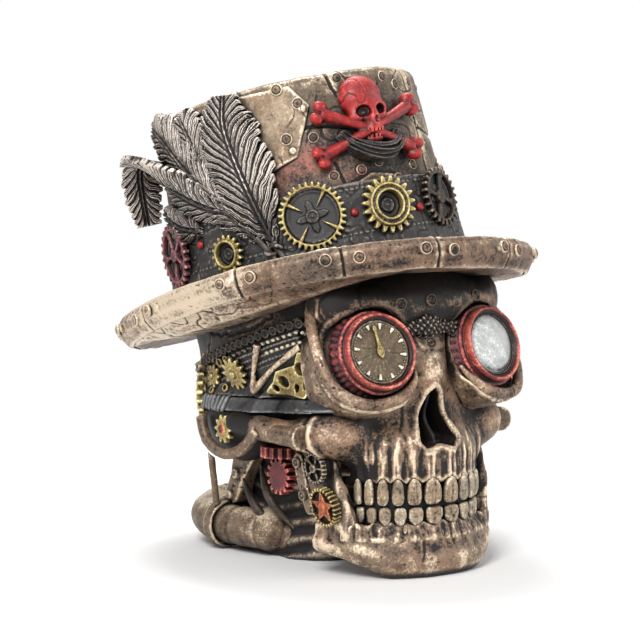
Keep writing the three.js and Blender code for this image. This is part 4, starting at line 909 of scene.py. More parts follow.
def skull_distance(x, y, z):
    """How far a place is from the plain skull."""
    distance = None
    for centre, radii in lump_shares:
        lump = ellipsoid(x, y, z, centre * skull_size, radii * skull_size)
        distance = lump if distance is None else blend_min(distance, lump, skull_blend)
    start = arch_front_share * skull_size
    end = arch_rear_share * skull_size
    return blend_min(distance, capsule(abs(x), y, z, start, end, arch_radius), arch_blend)


def skull_slope(place, step):
    """The direction that leads away from the plain skull, felt out over a short step."""
    sides = np.eye(3) * step
    return [float(skull_distance(*(place + side)) - skull_distance(*(place - side))) for side in sides]


def side_point(y, z, lift, hand):
    """The place on the skull's side at a distance over it."""
    y, z = np.broadcast_arrays(np.asarray(y, float), np.asarray(z, float))
    near, far = np.zeros(y.shape), np.full(y.shape, 70.0)
    for _ in range(26):
        middle = (near + far) / 2
        outside = skull_distance(middle, y, z) > lift
        far = np.where(outside, middle, far)
        near = np.where(outside, near, middle)
    return np.stack([hand * near, y, z], axis=-1)


def side_frame(y_share, z_share, lift, hand):
    """Axes and place on the skull's side, by shares of its length and height."""
    place = side_point(y_share * skull_size[1], z_share * skull_size[2], lift, hand)
    return frame_at(place, skull_slope(place, 1.0))


def seated(place, lift):
    """The nearest place at a distance over the plain skull, with its outward direction."""
    place = np.array(place, float)
    for _ in range(8):
        slope = unit(np.array(skull_slope(place, 0.2)))
        place = place - slope * (float(skull_distance(*place)) - lift)
    return frame_at(place, slope)


def front_depth(points):
    """How far behind the skull's front each place is, straight back along its length."""
    x, y, z = points.T
    near, far = np.full(x.shape, -80.0), np.full(x.shape, -30.0)
    for _ in range(16):
        middle = (near + far) / 2
        outside = skull_distance(x, middle, z) > 0
        near = np.where(outside, middle, near)
        far = np.where(outside, far, middle)
    return y - near


# Goggles' place and the arches of the teeth

# How far the goggles turn outwards and upwards in degrees, and where the left one is.
goggle_yaw = math.radians(9)
goggle_pitch = math.radians(17)
goggle_share = np.array([0.553, -1.033, 0.815])


def goggle_frame(hand):
    """Axes and place of a goggle; hand is 1 for the left and -1 for the right."""
    level = math.cos(goggle_pitch)
    axis = (hand * math.sin(goggle_yaw) * level, -math.cos(goggle_yaw) * level, math.sin(goggle_pitch))
    return frame_at(goggle_share * (hand, 1, 1) * skull_size, axis)


def goggle_local(points, hand):
    """Outwards, up and forward in the goggle's own frame for each point."""
    axes, place = goggle_frame(hand)
    local = (points - place) @ axes
    return hand * local[:, 0], local[:, 1], local[:, 2]


# The rows of teeth and the jaw stand on half ovals, as seen from above.
tooth_arch = {
    "half_width": 0.52 * skull_size[0], "depth": 0.32 * skull_size[1], "back": -0.69 * skull_size[1],
}
jaw_arch = {
    "half_width": 0.66 * skull_size[0], "depth": 0.4 * skull_size[1], "back": -0.6 * skull_size[1],
}

# Where one tooth ends and the next starts, in degrees round the arch from its middle.
tooth_bounds = (0, 17, 31, 43, 55, 66, 76)

# Heights at which the teeth meet, and at which the upper and the lower teeth leave the bone.
bite_height = 25.6
gum_height = 34.6
chin_height = 19.0


def arch_angle(x, y, arch):
    """Degrees round an arch from its middle."""
    return np.degrees(np.arctan2(x / arch["half_width"], -(y - arch["back"]) / arch["depth"]))


def tooth_phase(angle):
    """0 between two teeth and 1 at the middle of a tooth."""
    bounds = np.array(tooth_bounds, float)
    middles = (bounds[1:] + bounds[:-1]) / 2
    stops = np.sort(np.concatenate([bounds, middles]))
    values = np.array([0, 1] * len(middles) + [0], float)
    return np.interp(np.abs(angle), stops, values)


def tooth_reach(x, y):
    """How far outside the row of teeth each place is."""
    near, far = np.full(np.shape(x), -16.0), np.full(np.shape(x), 24.0)
    for _ in range(18):
        middle = (near + far) / 2
        round_share = np.hypot(x / (tooth_arch["half_width"] + middle),
                               (y - tooth_arch["back"]) / (tooth_arch["depth"] + middle))
        near = np.where(round_share > 1, middle, near)
        far = np.where(round_share > 1, far, middle)
    return near


# Hat's shape

# The hat leans back and to its left, and stands on the skull at this share of its size.
hat_turn = rotation("Y", -5) @ rotation("X", -12.5)
hat_place = np.array([-0.043, 0.133, 1.085]) * skull_size

# The crown's height and how much longer than wide it is.
crown_height = 62.5
crown_oval = 0.9 * skull_size[1] / skull_size[0]

# The band round the foot of the crown, and how far over the crown the gears on it stand.
band_height = 21.0
band_thickness = 2.2
seat_gap = 0.3
over_band = 2 * seat_gap + band_thickness

# Millimetres round the crown for one degree.
degree_length = 0.92


def crown_radius(z):
    """Half the crown's width at a height over the brim."""
    return 50.0 - 4.0 * z / crown_height


def crown_point(angle, z, lift):
    """A place on the crown by its angle in degrees from the front, its height and its lift."""
    turn = np.radians(angle)
    wide = crown_radius(z) + lift
    local = np.stack(np.broadcast_arrays(wide * np.sin(turn), -wide * crown_oval * np.cos(turn), z), axis=-1)
    return local @ hat_turn.T + hat_place


def crown_outward(angle):
    """The direction straight out of the crown's side at an angle in degrees from the front."""
    turn = math.radians(angle)
    return hat_turn @ unit(np.array([math.sin(turn), -math.cos(turn) / crown_oval, 0]))


def crown_frame(angle, z, lift):
    """Axes and place on the crown's side, the second axis leaning up the crown."""
    return frame_at(crown_point(angle, z, lift), crown_outward(angle), hat_turn @ np.array([0, 0, 1.0]))


def hat_coordinates(points):
    """Angle in degrees, height and distance from the crown's side for each point."""
    local = (points - hat_place) @ hat_turn
    angle = np.degrees(np.arctan2(local[:, 0], -local[:, 1] / crown_oval))
    lift = np.hypot(local[:, 0], local[:, 1] / crown_oval) - crown_radius(local[:, 2])
    return angle, local[:, 2], lift


def on_crown(places):
    """Millimetres round and up the crown for places given by angle and share of its height."""
    return np.array(places) * (degree_length, crown_height)


def beside_route(route, sideways, lift):
    """Places over the crown, so far to the right of a route that is given in millimetres on it."""
    direction = unit(np.gradient(route, axis=0))
    u = route[:, 0:1] + direction[:, 1:2] * sideways
    v = route[:, 1:2] - direction[:, 0:1] * sideways
    return crown_point(u / degree_length, v, lift)


def rivets_on_crown(places, radius, height, lift):
    """Rivets at angles and shares of the crown's height; lift is a number or a function of both."""
    heads = []
    for angle, share in places:
        over = lift(angle, share) if callable(lift) else lift
        heads.append(rivet(radius, height).moved(*crown_frame(angle, share * crown_height, over)))
    return joined(heads)


# Skull

# The nose opening: its outline in half widths and half heights, its size, and how deep it is.
nasal_shares = [
    (-1, -0.7), (-0.72, -1), (-0.12, -0.86), (0.12, -0.86), (0.72, -1), (1, -0.7), (0.3, 0.8), (0, 1),
    (-0.3, 0.8),
]
nasal_half_width = 8.5
nasal_half_height = 10.5
nasal_middle_share = 0.56
nasal_depth = 9.0
septum_thickness = 1.4


def nasal_distance(x, z):
    """Distance to the edge of the nose opening as seen from the front, negative inside."""
    outline = np.array(nasal_shares) * (nasal_half_width, nasal_half_height)
    middle = nasal_middle_share * skull_size[2]
    return polygon_distance(x, z - middle, outline)


# Where the upper teeth leave the bone: its height between two teeth, and how much higher it is over each.
scallop_low = gum_height - 1.5
scallop_rise = 2.4


def ridge_arch(x, y, z):
    """The bone that holds the upper teeth, scalloped round each one."""
    rise = z - gum_height
    grow = 3.0 - 0.28 * np.clip(rise, 0, 14)
    wide = tooth_arch["half_width"] + grow
    deep = tooth_arch["depth"] + grow
    round_share = np.sqrt((x / wide) ** 2 + ((y - tooth_arch["back"]) / deep) ** 2)
    outer = (round_share - 1) * deep
    phase = tooth_phase(arch_angle(x, y, tooth_arch))
    body = blend_max(outer, scallop_low + scallop_rise * phase - z, 1.2)
    return blend_max(body, z - gum_height - 13, 4)


# A distance that no blend reaches.
far_away = 50.0


def carved_nose(body, plain, x, y, z):
    """The skull with its nose opening, the rim round it and the thin wall inside."""
    nose = nasal_distance(x[:, :1, :], z[:, :1, :])
    front = (y < 0) & (plain > -nasal_depth - 3)
    edge = np.where(front, nose, far_away)
    rim = 0.7 * bell(edge - 0.9, 1.1)
    opening = blend_max(edge, -(plain + nasal_depth), 1.0)
    body = blend_max(body - np.where(front, rim, 0), -opening, 0.7)
    septum = np.maximum(np.maximum(abs(x + 0.5) - septum_thickness / 2, nose), np.abs(plain + 6) - 3.8)
    return np.minimum(body, np.where(front, septum, far_away))


# The room for a goggle: its radius, and how deep it goes behind the goggle's front.
pocket_radius = 17.0
pocket_depth = 12.0


def carved_skull(x, y, z):
    """The skull with its nose opening, tooth bone and the room for the goggles."""
    x, y, z = np.broadcast_arrays(x, y, z)
    plain = skull_distance(x, y, z)
    cheek = capsule(abs(x), y, z, np.array([31.5, -44.5, 50.5]), np.array([20.5, -46.5, 42.0]), 5.4)
    temple = ellipsoid(abs(x), y, z, (32.5, -41.0, 96.0), (9.0, 8.0, 10.0))
    body = blend_min(blend_min(plain, cheek, 7.0), temple, 5.0)
    body = blend_min(body, ridge_arch(x, y, z), 3.0)
    hollow = ellipsoid(abs(x), y, z, np.array([0.46, -0.62, 0.385]) * skull_size, (6.0, 9.0, 6.0))
    body = blend_max(body, -hollow, 3.5)
    body = carved_nose(body, plain, x, y, z)
    for hand in (-1, 1):
        axes, place = goggle_frame(hand)
        dx, dy, dz = x - place[0], y - place[1], z - place[2]
        across, up, lift = [dx * axis[0] + dy * axis[1] + dz * axis[2] for axis in axes.T]
        pocket = np.maximum(np.hypot(across, up) - pocket_radius, -pocket_depth - lift)
        body = np.maximum(body, -pocket)
    return body


# Where the skull's bones meet, as shares of its length and height, on each side.
suture_shares = [
    (0.36, 0.72), (0.322, 0.767), (0.255, 0.839), (0.052, 0.836),
    (-0.169, 0.862), (-0.322, 0.915), (-0.338, 0.962), (-0.25, 1.05),
]


def side_line(points, shares, waver, seed):
    """Distance, seen from the side, to a line that wavers like a suture."""
    line = np.array(shares) * skull_size[1:]
    u = points[:, 1] + waver * rough_noise(points, 3.2, seed, 2)
    v = points[:, 2] + waver * rough_noise(points, 3.2, seed + 9, 2)
    return line_distance(u, v, line)


def brow_share(points):
    """1 on the dark sheet over the brow and between the goggles."""
    x, y, z = points.T
    front = smooth_step(y, -24, -30)
    over = smooth_step(z, 87.0, 88.4) * smooth_step(np.abs(x), 41.5, 40.5)
    middle = smooth_step(np.abs(x) + 0.5 * (87 - z), 8.5, 7.5) * smooth_step(z, 79.5, 81)
    return front * np.maximum(over, middle)


def skull_relief(points, normals):
    """The suture, cracks, pits, tooth roots, the brow sheet and the collar of the cheek's bar."""
    x, y, z = points.T
    shift = groove(side_line(points, suture_shares, 1.5, 31), 0.5, 0.9)
    shift += 0.42 * rough_noise(points, 12.0, 61, 3)
    shift -= 0.4 * veins(points, 24.0, 71, 0.014) * patches(points, 30.0, 72, 0.6, 0.72)
    shift -= 0.2 * pits(points, 1.4, 81, 0.82)
    phase = tooth_phase(arch_angle(x, y, tooth_arch))
    front = smooth_step(y, -38, -46) * (normals[:, 2] < 0.9)
    fade = smooth_step(z, 54, 42) * smooth_step(z, 32.5, 35) * front * smooth_step(np.abs(x), 30, 24)
    streak = rough_noise(points * upright, 1.5, 91, 3)
    shift += fade * (0.7 * (phase - 0.45) + 0.75 * streak)
    shift += 0.25 * front * bell(z - (scallop_low + scallop_rise * phase + 0.9), 0.7)
    shift += brow_share(points) * (0.7 + 0.2 * rough_noise(points, 3.5, 92, 2))
    rod = smooth_step(np.abs(x), 36, 38) * smooth_step(z, 60, 57)
    return shift + rod * (0.9 * bell(y + 42.5, 1.3) + groove(y + 39.6, 0.8, 0.9))


def skull_stain_and_shade(points):
    """Dark paint over the brow, with painted shade inside the nose, under the brim and in the hollow of the
    cheek.
    """
    x, y, z = points.T
    mouth = nasal_distance(x, z)
    near = (mouth < 1.5) & (y < -20)
    # Painted shade deep inside the nose opening.
    hole = np.zeros(len(points))
    hole[near] = smooth_step(front_depth(points[near]), 0.7, 2.2) * smooth_step(mouth[near], 0.4, -0.3)
    lip = 0.3 * bell(mouth - 0.5, 1.0) * (y < -40)
    gum = 0.16 * smooth_step(z, 39, 36) * (y < -40)
    # Painted shadow of the brim on the upper skull.
    height = hat_coordinates(points)[1]
    shaded = 0.45 * smooth_step(height, -30, -12)
    # Painted shade in the hollow below the cheek.
    hollow = 0.75 * smooth_step(z, 43, 38) * smooth_step(np.abs(x), 21, 25) * (y < -15)
    behind = 0.3 * smooth_step(y, -28, -18) * smooth_step(z, 92, 84)
    arch = 0.8 * smooth_step(y, -15, -10) * smooth_step(z, 60, 56)
    above = 0.3 * bell(z - 56.5, 2.5) * smooth_step(np.abs(x), 22, 28) * (y < -20)
    cheek = 0.22 * bell(np.abs(x) - 30, 10) * bell(z - 47, 8) * (y < -30)
    bright = 0.12 * bell(x, 5) * bell(z - 72, 7) * (y < -50)
    blotch = 0.16 * (value_noise(points, 12.0, 73) - 0.5)
    dark = hole + 0.42 * brow_share(points) + shaded + hollow + behind + arch
    return dark + lip + gum + above + cheek - bright + blotch


def make_skull():
    form = from_field(carved_skull, (-56.0, -70.0, 26.0), (56.0, 64.0, 130.0), 0.7)
    cast("skull_bone", form, "aged_bone", ["cranium"], relief=skull_relief, stain_and_painted_light=skull_stain_and_shade, grain=0.08)


# Teeth

# Rings of a tooth from its biting edge to its root: height share, half width and half depth shares.
tooth_ring_shares = [
    (0, 0.2, 0.34), (0.04, 0.31, 0.62), (0.13, 0.4, 0.88), (0.3, 0.44, 1.0), (0.55, 0.425, 1.0),
    (0.76, 0.36, 0.94), (0.9, 0.24, 0.78), (0.97, 0.12, 0.5), (1, 0.03, 0.3),
]

# Half a tooth's depth, and the power that makes its rings a little square.
tooth_half_depth = 2.7 * 0.62
tooth_power = 0.78


def squared_circle(sides):
    """Sine and cosine round a ring, as columns, pushed a little towards the corners of a square."""
    angle = full_turn(sides)[:, None]
    return [np.sign(wave) * np.abs(wave) ** tooth_power for wave in (np.sin(angle), np.cos(angle))]


def tooth(low_angle, high_angle, edge, root, reach):
    """One tooth between two angles of the arch, from its biting edge to its root."""
    middle = math.radians((low_angle + high_angle) / 2)
    wide, deep = tooth_arch["half_width"] + 2, tooth_arch["depth"] + 2
    place = np.array([wide * math.sin(middle), tooth_arch["back"] - deep * math.cos(middle), 0])
    outside = unit(np.array([math.sin(middle) / wide, -math.cos(middle) / deep, 0]))
    across = np.array([-outside[1], outside[0], 0])
    span = math.radians(high_angle - low_angle)
    width = span * math.hypot(wide * math.cos(middle), deep * math.sin(middle))
    centre = place + outside * (reach - tooth_half_depth)
    sine, cosine = squared_circle(28)
    rings = []
    for height, half, depth in tooth_ring_shares:
        ring = centre + across * cosine * half * width + outside * sine * depth * tooth_half_depth
        ring[:, 2] = edge + (root - edge) * height
        rings.append(ring)
    return outward(swept(rings))


def shade_wall(low, high, reach):
    """A dark wall behind a row of teeth that paints the shade in the mouth."""
    rings = []
    for angle in np.radians(np.linspace(-78, 78, 49)):
        ring = []
        for out, height in ((reach, low), (reach, high), (reach - 3, high), (reach - 3, low)):
            wide, deep = tooth_arch["half_width"] + out, tooth_arch["depth"] + out
            ring.append((wide * math.sin(angle), tooth_arch["back"] - deep * math.cos(angle), height))
        rings.append(ring)
    return outward(swept(rings))


def tooth_row(edge, root, reach, shift):
    """The teeth on both sides of the arch, all turned a few tenths of a degree round it."""
    parts = []
    for hand in (-1, 1):
        for low, high in zip(tooth_bounds, tooth_bounds[1:]):
            ends = sorted((hand * low, hand * high))
            parts.append(tooth(ends[0] + shift, ends[1] + shift, edge, root, reach))
    return joined(parts)


def tooth_streaks(points, normals):
    return 0.22 * rough_noise(points * (1, 1, 0.18), 1.1, 7, 2) + 0.12 * rough_noise(points, 1.4, 8, 2)


def tooth_stain(points):
    return 0.2 * (value_noise(points, 4.0, 183) - 0.7)


def make_teeth():
    upper = tooth_row(bite_height + 0.4, gum_height + 0.9, 2.7, -0.8)
    lower = tooth_row(bite_height - 0.4, chin_height - 0.3, 2.2, 1.0)
    for side, form in (("upper", upper), ("lower", lower)):
        cast(side + "_tooth_row", even_quads(form, 0.28), "teeth", [side + "_teeth"], relief=tooth_streaks,
             stain_and_painted_light=tooth_stain, grain=0.03)
    # Painted shade: a dark wall behind the teeth.
    wall = shade_wall(chin_height - 1, gum_height + 1.5, 0.9)
    cast("painted_shade_behind_teeth", even_quads(wall, 0.6), "dark_bronze", stain_and_painted_light=0.8)


# Jaw and lower gum

# How far the jaw's outer face lies outside the row of teeth, by degrees from the middle, in millimetres.
jaw_face_places = [(0, 4.2), (15, 4.4), (30, 4.8), (45, 5.6), (60, 8.0), (75, 10.2), (180, 10.2)]

# How far it lies outside them at the top of the gum.
gum_top_reach = 2.6


def jaw_slope(angle, z):
    """The reach of the jaw's face, drawn in towards the teeth at its top."""
    face = np.interp(np.abs(angle), *zip(*jaw_face_places))
    drawn = smooth_step(z, 12.5, 19.5) * smooth_step(np.abs(angle), 66, 50)
    return face + (gum_top_reach - face) * drawn


def lower_gum(x, y, z):
    """The bone that holds the lower teeth: it slopes out to the jaw and rises between the teeth."""
    angle = arch_angle(x, y, tooth_arch)
    proud = 0.3 - 1.5 * smooth_step(z, 14.5, 11.5)
    outer = tooth_reach(*np.broadcast_arrays(x, y)) - jaw_slope(angle, z) - proud
    top = z - (chin_height - 0.4 + 2.0 * (1 - tooth_phase(angle)))
    body = blend_max(outer, top, 1.2)
    body = blend_max(body, -(outer + 3.2), 0.6)
    body = blend_max(body, 11.0 - z, 0.8)
    return blend_max(body, y + 46.0, 3.0)


def gum_relief(points, normals):
    """Tooth roots and upright streaks."""
    x, y, z = points.T
    phase = tooth_phase(arch_angle(x, y, tooth_arch))
    streak = rough_noise(points * upright, 1.5, 93, 3)
    return smooth_step(z, 11, 15) * (0.6 * (phase - 0.4) + 0.55 * streak)


def gum_stain(points):
    """Dark where the teeth leave the bone, and in blotches."""
    return 0.16 * smooth_step(points[:, 2], 17, 19.5) + 0.2 * (value_noise(points, 8.0, 94) - 0.55)


def make_lower_gum():
    form = from_field(lower_gum, (-36.0, -70.0, 9.5), (36.0, -42.0, 23.0), 0.5)
    cast("lower_gum_bone", form, "aged_bone", relief=gum_relief, stain_and_painted_light=gum_stain)


# The ridge that runs from the jaw's branch down its side, seen from the side.
branch_ridge_places = [(-48.5, 34), (-46.0, 27), (-46.5, 20), (-51.0, 13.5), (-59.0, 8.5)]


def branch_ridge(points):
    x, y, z = points.T
    away = line_distance(y, z, branch_ridge_places)
    return bell(away, 2.2) * smooth_step(np.abs(x), 18, 22) * smooth_step(y, -60, -54)


# A crack down the chin, as millimetres round the jaw and height.
chin_crack = [(-7.3, 21), (-7.1, 15.7), (-6.8, 8.6), (-7.6, 6.6)]


def jaw_relief(points, normals):
    """Tooth roots, streaks, a crack, a nerve hole, two bumps of the chin, pits and the branch's ridge."""
    x, y, z = points.T
    angle = arch_angle(x, y, jaw_arch)
    along = angle * 0.5
    outside = np.abs(normals[:, 2]) < 0.8
    shift = 0.4 * rough_noise(points, 10.0, 12, 3)
    fade = smooth_step(z, 9.5, 15.5) * smooth_step(y, -40, -47) * outside
    streak = rough_noise(points * upright, 1.5, 13, 3)
    shift += fade * (0.4 * (tooth_phase(angle) - 0.5) + 0.4 * streak)
    shift += groove(np.hypot(along + 13.8, (z - 14.8) * 0.6), 1.0, 1.6)
    shift += groove(line_distance(along + 0.5 * rough_noise(points, 2.5, 17, 2), z, chin_crack), 0.28, 0.45)
    shift += bell(np.minimum(np.abs(along - 5.5), np.abs(along + 5.5)), 3.4) * bell(z - 5.5, 4)
    shift -= 0.2 * pits(points, 1.4, 82, 0.82)
    return shift + branch_ridge(points) * outside


def jaw_stain_and_shade(points):
    """Painted shade on the inner faces and in the hollow beside the teeth."""
    x, y, z = points.T
    face = np.interp(z, (16, 19, 29, 40), (24.5, 25.7, 36.0, 38.0))
    inside = smooth_step(face - np.abs(x), 1.6, 3.4) * smooth_step(np.abs(x), 14, 17)
    # Painted shade on the inner faces of the jaw's branches, towards the back.
    behind = 0.6 * inside * smooth_step(z, 12, 17)
    hollow = 0.2 * bell(y + 52.5, 4) * bell(z - 17, 4)
    spots = 0.2 * (value_noise(points, 11.0, 83) - 0.7)
    return behind * (y > -50) + hollow + spots - 0.06 * branch_ridge(points)


def drawn_in(points):
    """The jaw's points with its top edge drawn in to the gum."""
    x, y, z = points.T
    reach = tooth_reach(x, y)
    slope = jaw_slope(arch_angle(x, y, tooth_arch), z)
    target = np.where((y < tooth_arch["back"]) & (z > 12.5), np.minimum(reach, slope), reach)
    wide, deep, back = tooth_arch["half_width"], tooth_arch["depth"], tooth_arch["back"]
    x = x * (wide + target) / (wide + reach)
    y = back + (y - back) * (deep + target) / (deep + reach)
    return np.column_stack([x, y, z])


def make_jaw():
    form = node_quads("jaw", 0.6)
    form.points = drawn_in(form.points)
    cast("jaw_bone", form, "aged_bone", ["jaw"], smooth=12, relief=jaw_relief, stain_and_painted_light=jaw_stain_and_shade, grain=0.1)


# Crown and its patch

# Seams, sheets and rivets of the crown, as angle and share of its height.
crown_seams = [
    [(-20.8, 1.02), (-19.9, 0.9), (-18.2, 0.85)],
    [(-35.2, 0.7), (-25.3, 0.684), (-17, 0.66)],
    [(-25.2, 0.47), (-23.1, 0.352), (-22.4, 0.28)],
    [(24.4, 1.0), (24.6, 0.678), (22.6, 0.44), (22.4, 0.3)],
    [(25, 0.62), (40, 0.58), (58, 0.6)],
    [(58, 1.0), (57, 0.75), (60, 0.5), (57, 0.3)],
    [(60, 0.8), (78, 0.76), (98, 0.8)],
    [(98, 1.0), (99, 0.7), (96, 0.45), (99, 0.3)],
    [(99, 0.55), (120, 0.5), (142, 0.54)],
    [(142, 1.0), (141, 0.7), (144, 0.5), (142, 0.3)],
    [(144, 0.78), (163, 0.74), (182, 0.78)],
    [(-176, 1.0), (-177, 0.7), (-174, 0.5), (-176, 0.3)],
    [(-174, 0.56), (-158, 0.52), (-140, 0.56)],
    [(-140, 1.0), (-141, 0.7), (-139, 0.5), (-140, 0.3)],
]

crown_sheets = [
    [(-27.8, 0.24), (-27.8, 0.286), (-10.7, 0.385), (0.4, 0.358), (2.5, 0.313), (2.2, 0.24)],
    [(30, 0.24), (30, 0.34), (42, 0.42), (56, 0.4), (60, 0.3), (60, 0.24)],
    [(104, 0.6), (102, 0.84), (118, 0.96), (136, 0.9), (138, 0.66), (122, 0.58)],
    [(-172, 0.24), (-172, 0.36), (-160, 0.44), (-146, 0.4), (-142, 0.24)],
    [(-60.5, 1.0), (-53.8, 0.83), (-58.5, 0.8), (-66, 0.86), (-70, 1.0)],
]

crown_rivets = [
    (-16.4, 0.95), (7.4, 0.93), (15, 0.882), (-14.8, 0.406), (-6.2, 0.44), (-20, 0.3), (-26.8, 0.398),
    (0.8, 0.325), (12.5, 0.4), (-31.7, 0.637), (28, 0.9), (28, 0.5), (53.5, 0.9), (53.5, 0.45), (34, 0.34),
    (45, 0.38), (62.5, 0.9), (62.5, 0.4), (94, 0.88), (93.5, 0.42), (107, 0.66), (106, 0.82), (119, 0.91),
    (132, 0.86), (134, 0.68), (147, 0.88), (147, 0.4), (172, 0.85), (172, 0.4), (-166, 0.36), (-150, 0.35),
    (-168, 0.86), (-146, 0.86), (-133, 0.84), (-116, 0.86), (-134, 0.44),
]

# How far a sheet stands out of the crown.
sheet_height = 0.95


def crown_relief(points, normals):
    """The sheets with their edges, the seams, cracks and pits, and an uneven upper edge."""
    angle, z, lift = hat_coordinates(points)
    u = angle * degree_length
    shift = 0.55 * rough_noise(points, 15.0, 21, 2) + 0.16 * rough_noise(points, 4.0, 22, 2)
    side = (np.abs(lift) < 3.2) & (z > 2)
    for sheet in crown_sheets:
        edge = polygon_distance(u, z, on_crown(sheet))
        shadow = groove(np.maximum(edge - 0.2, 0), 0.7, 0.35) * (edge > -0.2)
        shift += side * (sheet_height * smooth_step(edge, 0.35, -0.55) + shadow)
    waver = 0.5 * rough_noise(points, 5.0, 23, 2)
    for seam in crown_seams:
        away = line_distance(u + waver, z + waver, on_crown(seam))
        shift += side * (groove(away, 0.4, 0.85) + groove(away, 1.5, 0.25))
    shift -= side * 0.4 * veins(points, 13.0, 24, 0.02) * patches(points, 18.0, 25, 0.5, 0.62)
    shift -= 0.25 * pits(points, 1.5, 26, 0.84)
    rim = bell(z - crown_height + 1.5, 1.6) * (np.abs(lift) < 5)
    return shift + 0.35 * rim * (rough_noise(points, 6.0, 27, 2) - 0.2)


def crown_surface_lift(angle, share):
    """How much a sheet raises the crown at a place."""
    u, z = on_crown([(angle, share)]).T
    covered = any(polygon_distance(u, z, on_crown(sheet))[0] < 0 for sheet in crown_sheets)
    return sheet_height if covered else 0.0


# Patches of pinkish copper: angle and share of the crown's height, with their half widths.
copper_patches = [
    (-46, 0.44, 9, 0.13), (-33, 0.5, 10, 0.1), (-12, 0.36, 12, 0.05), (70, 0.6, 14, 0.2), (160, 0.5, 18, 0.2),
]


def crown_hue(points):
    """Where the sheet metal turns to pinkish copper."""
    angle, z = hat_coordinates(points)[:2]
    patch = 0.0
    for middle, height, wide, tall in copper_patches:
        near = bell(turn_from(angle, middle), wide) * bell(z / crown_height - height, tall)
        patch = np.maximum(patch, near)
    return patch * patches(points, 9.0, 45, 0.25, 0.6)


def crown_stain(points):
    """Darker metal round the emblem and low on the crown; paler at the far edge."""
    angle, z, lift = hat_coordinates(points)
    share = z / crown_height
    round_emblem = bell(angle + 9, 24) * bell(share - 0.62, 0.26)
    low = smooth_step(share, 0.55, 0.36)
    blotch = value_noise(points, 11.0, 46) - 0.5
    pale = bell(angle - 24, 10)
    streak = rough_noise(np.column_stack([angle * 0.9, z * 0.3, lift]), 4.0, 48, 3)
    return 0.3 * round_emblem + 0.16 * low + 0.24 * blotch - 0.1 * pale + 0.1 * streak


def make_crown():
    cast("crown_sheet_metal", node_quads("hat_crown", 0.5), "hat_bronze", ["hat_crown"], smooth=4,
         relief=crown_relief, stain_and_painted_light=crown_stain, tint=crown_hue, grain=0.05)
    heads = rivets_on_crown(crown_rivets, 1.35, 0.75, crown_surface_lift)
    cast("crown_rivets", heads, "hat_bronze", smooth=0, tint=crown_hue, grain=0.02)


# The rivets of the patch, as angle and share of the crown's height.
patch_rivets = [(-42.6, 0.945), (-35.3, 0.842), (-42.5, 0.654), (-52.6, 0.573)]


def patch_relief(points, normals):
    """Dents and scratches on the patch's outer face."""
    lift = hat_coordinates(points)[2]
    dent = 0.5 * rough_noise(points, 9.0, 28, 2) + 0.12 * rough_noise(points, 2.5, 29, 2)
    scratch = veins(points * (1, 1, 0.4), 7.0, 30, 0.03) * patches(points, 9.0, 31, 0.5, 0.6)
    return (lift > 0.9) * (dent - 0.25 * scratch)


def make_patch():
    cast("patch_sheet", node_quads("patch_plate", 0.4), "patch_bronze", ["patch_plate"], relief=patch_relief,
         grain=0.03)
    cast("patch_rivets", rivets_on_crown(patch_rivets, 1.5, 0.8, 1.9), "patch_bronze", smooth=0, grain=0.02)


# Brim

def brim_relief(points, normals):
    """Dents, pits and, on the turned up sides, lines that follow the edge."""
    angle, z, lift = hat_coordinates(points)
    ends = np.abs(np.sin(np.radians(angle))) ** 6
    grain = rough_noise(np.column_stack([angle * 0.9, z * 1.6, lift * 0.25]), 2.6, 33, 3)
    lines = veins(np.column_stack([angle * 0.7, z * 0.7, lift * 0.1]), 4.0, 34, 0.035)
    shift = 0.6 * rough_noise(points, 14.0, 32, 3) + (0.2 + 0.6 * ends) * 0.45 * grain
    return shift - ends * 0.55 * lines - 0.25 * pits(points, 1.7, 35, 0.8)


def brim_stain(points):
    """Brown in broad patches and streaks, paler towards the turned up ends."""
    angle, z, lift = hat_coordinates(points)
    blotch = value_noise(np.column_stack([angle * 0.35, z, lift * 0.5]), 9.0, 47) - 0.5
    streak = rough_noise(np.column_stack([angle * 0.5, z * 3.0, lift * 0.3]), 5.0, 49, 3)
    ends = np.abs(np.sin(np.radians(angle))) ** 4
    return 0.08 + 0.34 * blotch + 0.18 * streak - 0.32 * ends


# Where the sheets of the edge binding meet, in degrees, and how far beside each joint its rivets are.
binding_joints = [-126, -98, -62, -34, -8, 19, 47, 78, 110, 142, 176, -156]
rivet_step = 4.2


def binding_relief(points, normals):
    """The joints of the binding's sheets, dents and pits."""
    angle = hat_coordinates(points)[0]
    shift = 0.35 * rough_noise(points, 8.0, 36, 3)
    waver = 0.25 * rough_noise(points, 3.0, 37, 2)
    for joint in binding_joints:
        away = np.abs(turn_from(angle, joint)) * 1.3
        shift += groove(away + waver, 0.42, 0.7) + 0.2 * bell(away - 1.6, 1.0)
    return shift - 0.2 * pits(points, 1.5, 38, 0.8)


def binding_places(angles):
    """Axes and places on the brim's outer edge at angles round the hat."""
    around, height, lift = hat_coordinates(node_form("brim_binding").points)
    places = []
    for angle in angles:
        near = np.abs(turn_from(around, angle)) < 7
        outermost = lift[near].max()
        rim = near & (lift > outermost - 1.0)
        middle = 0.5 * (height[rim].min() + height[rim].max())
        places.append(frame_at(crown_point(angle, middle, outermost - 0.2), crown_outward(angle)))
    return places


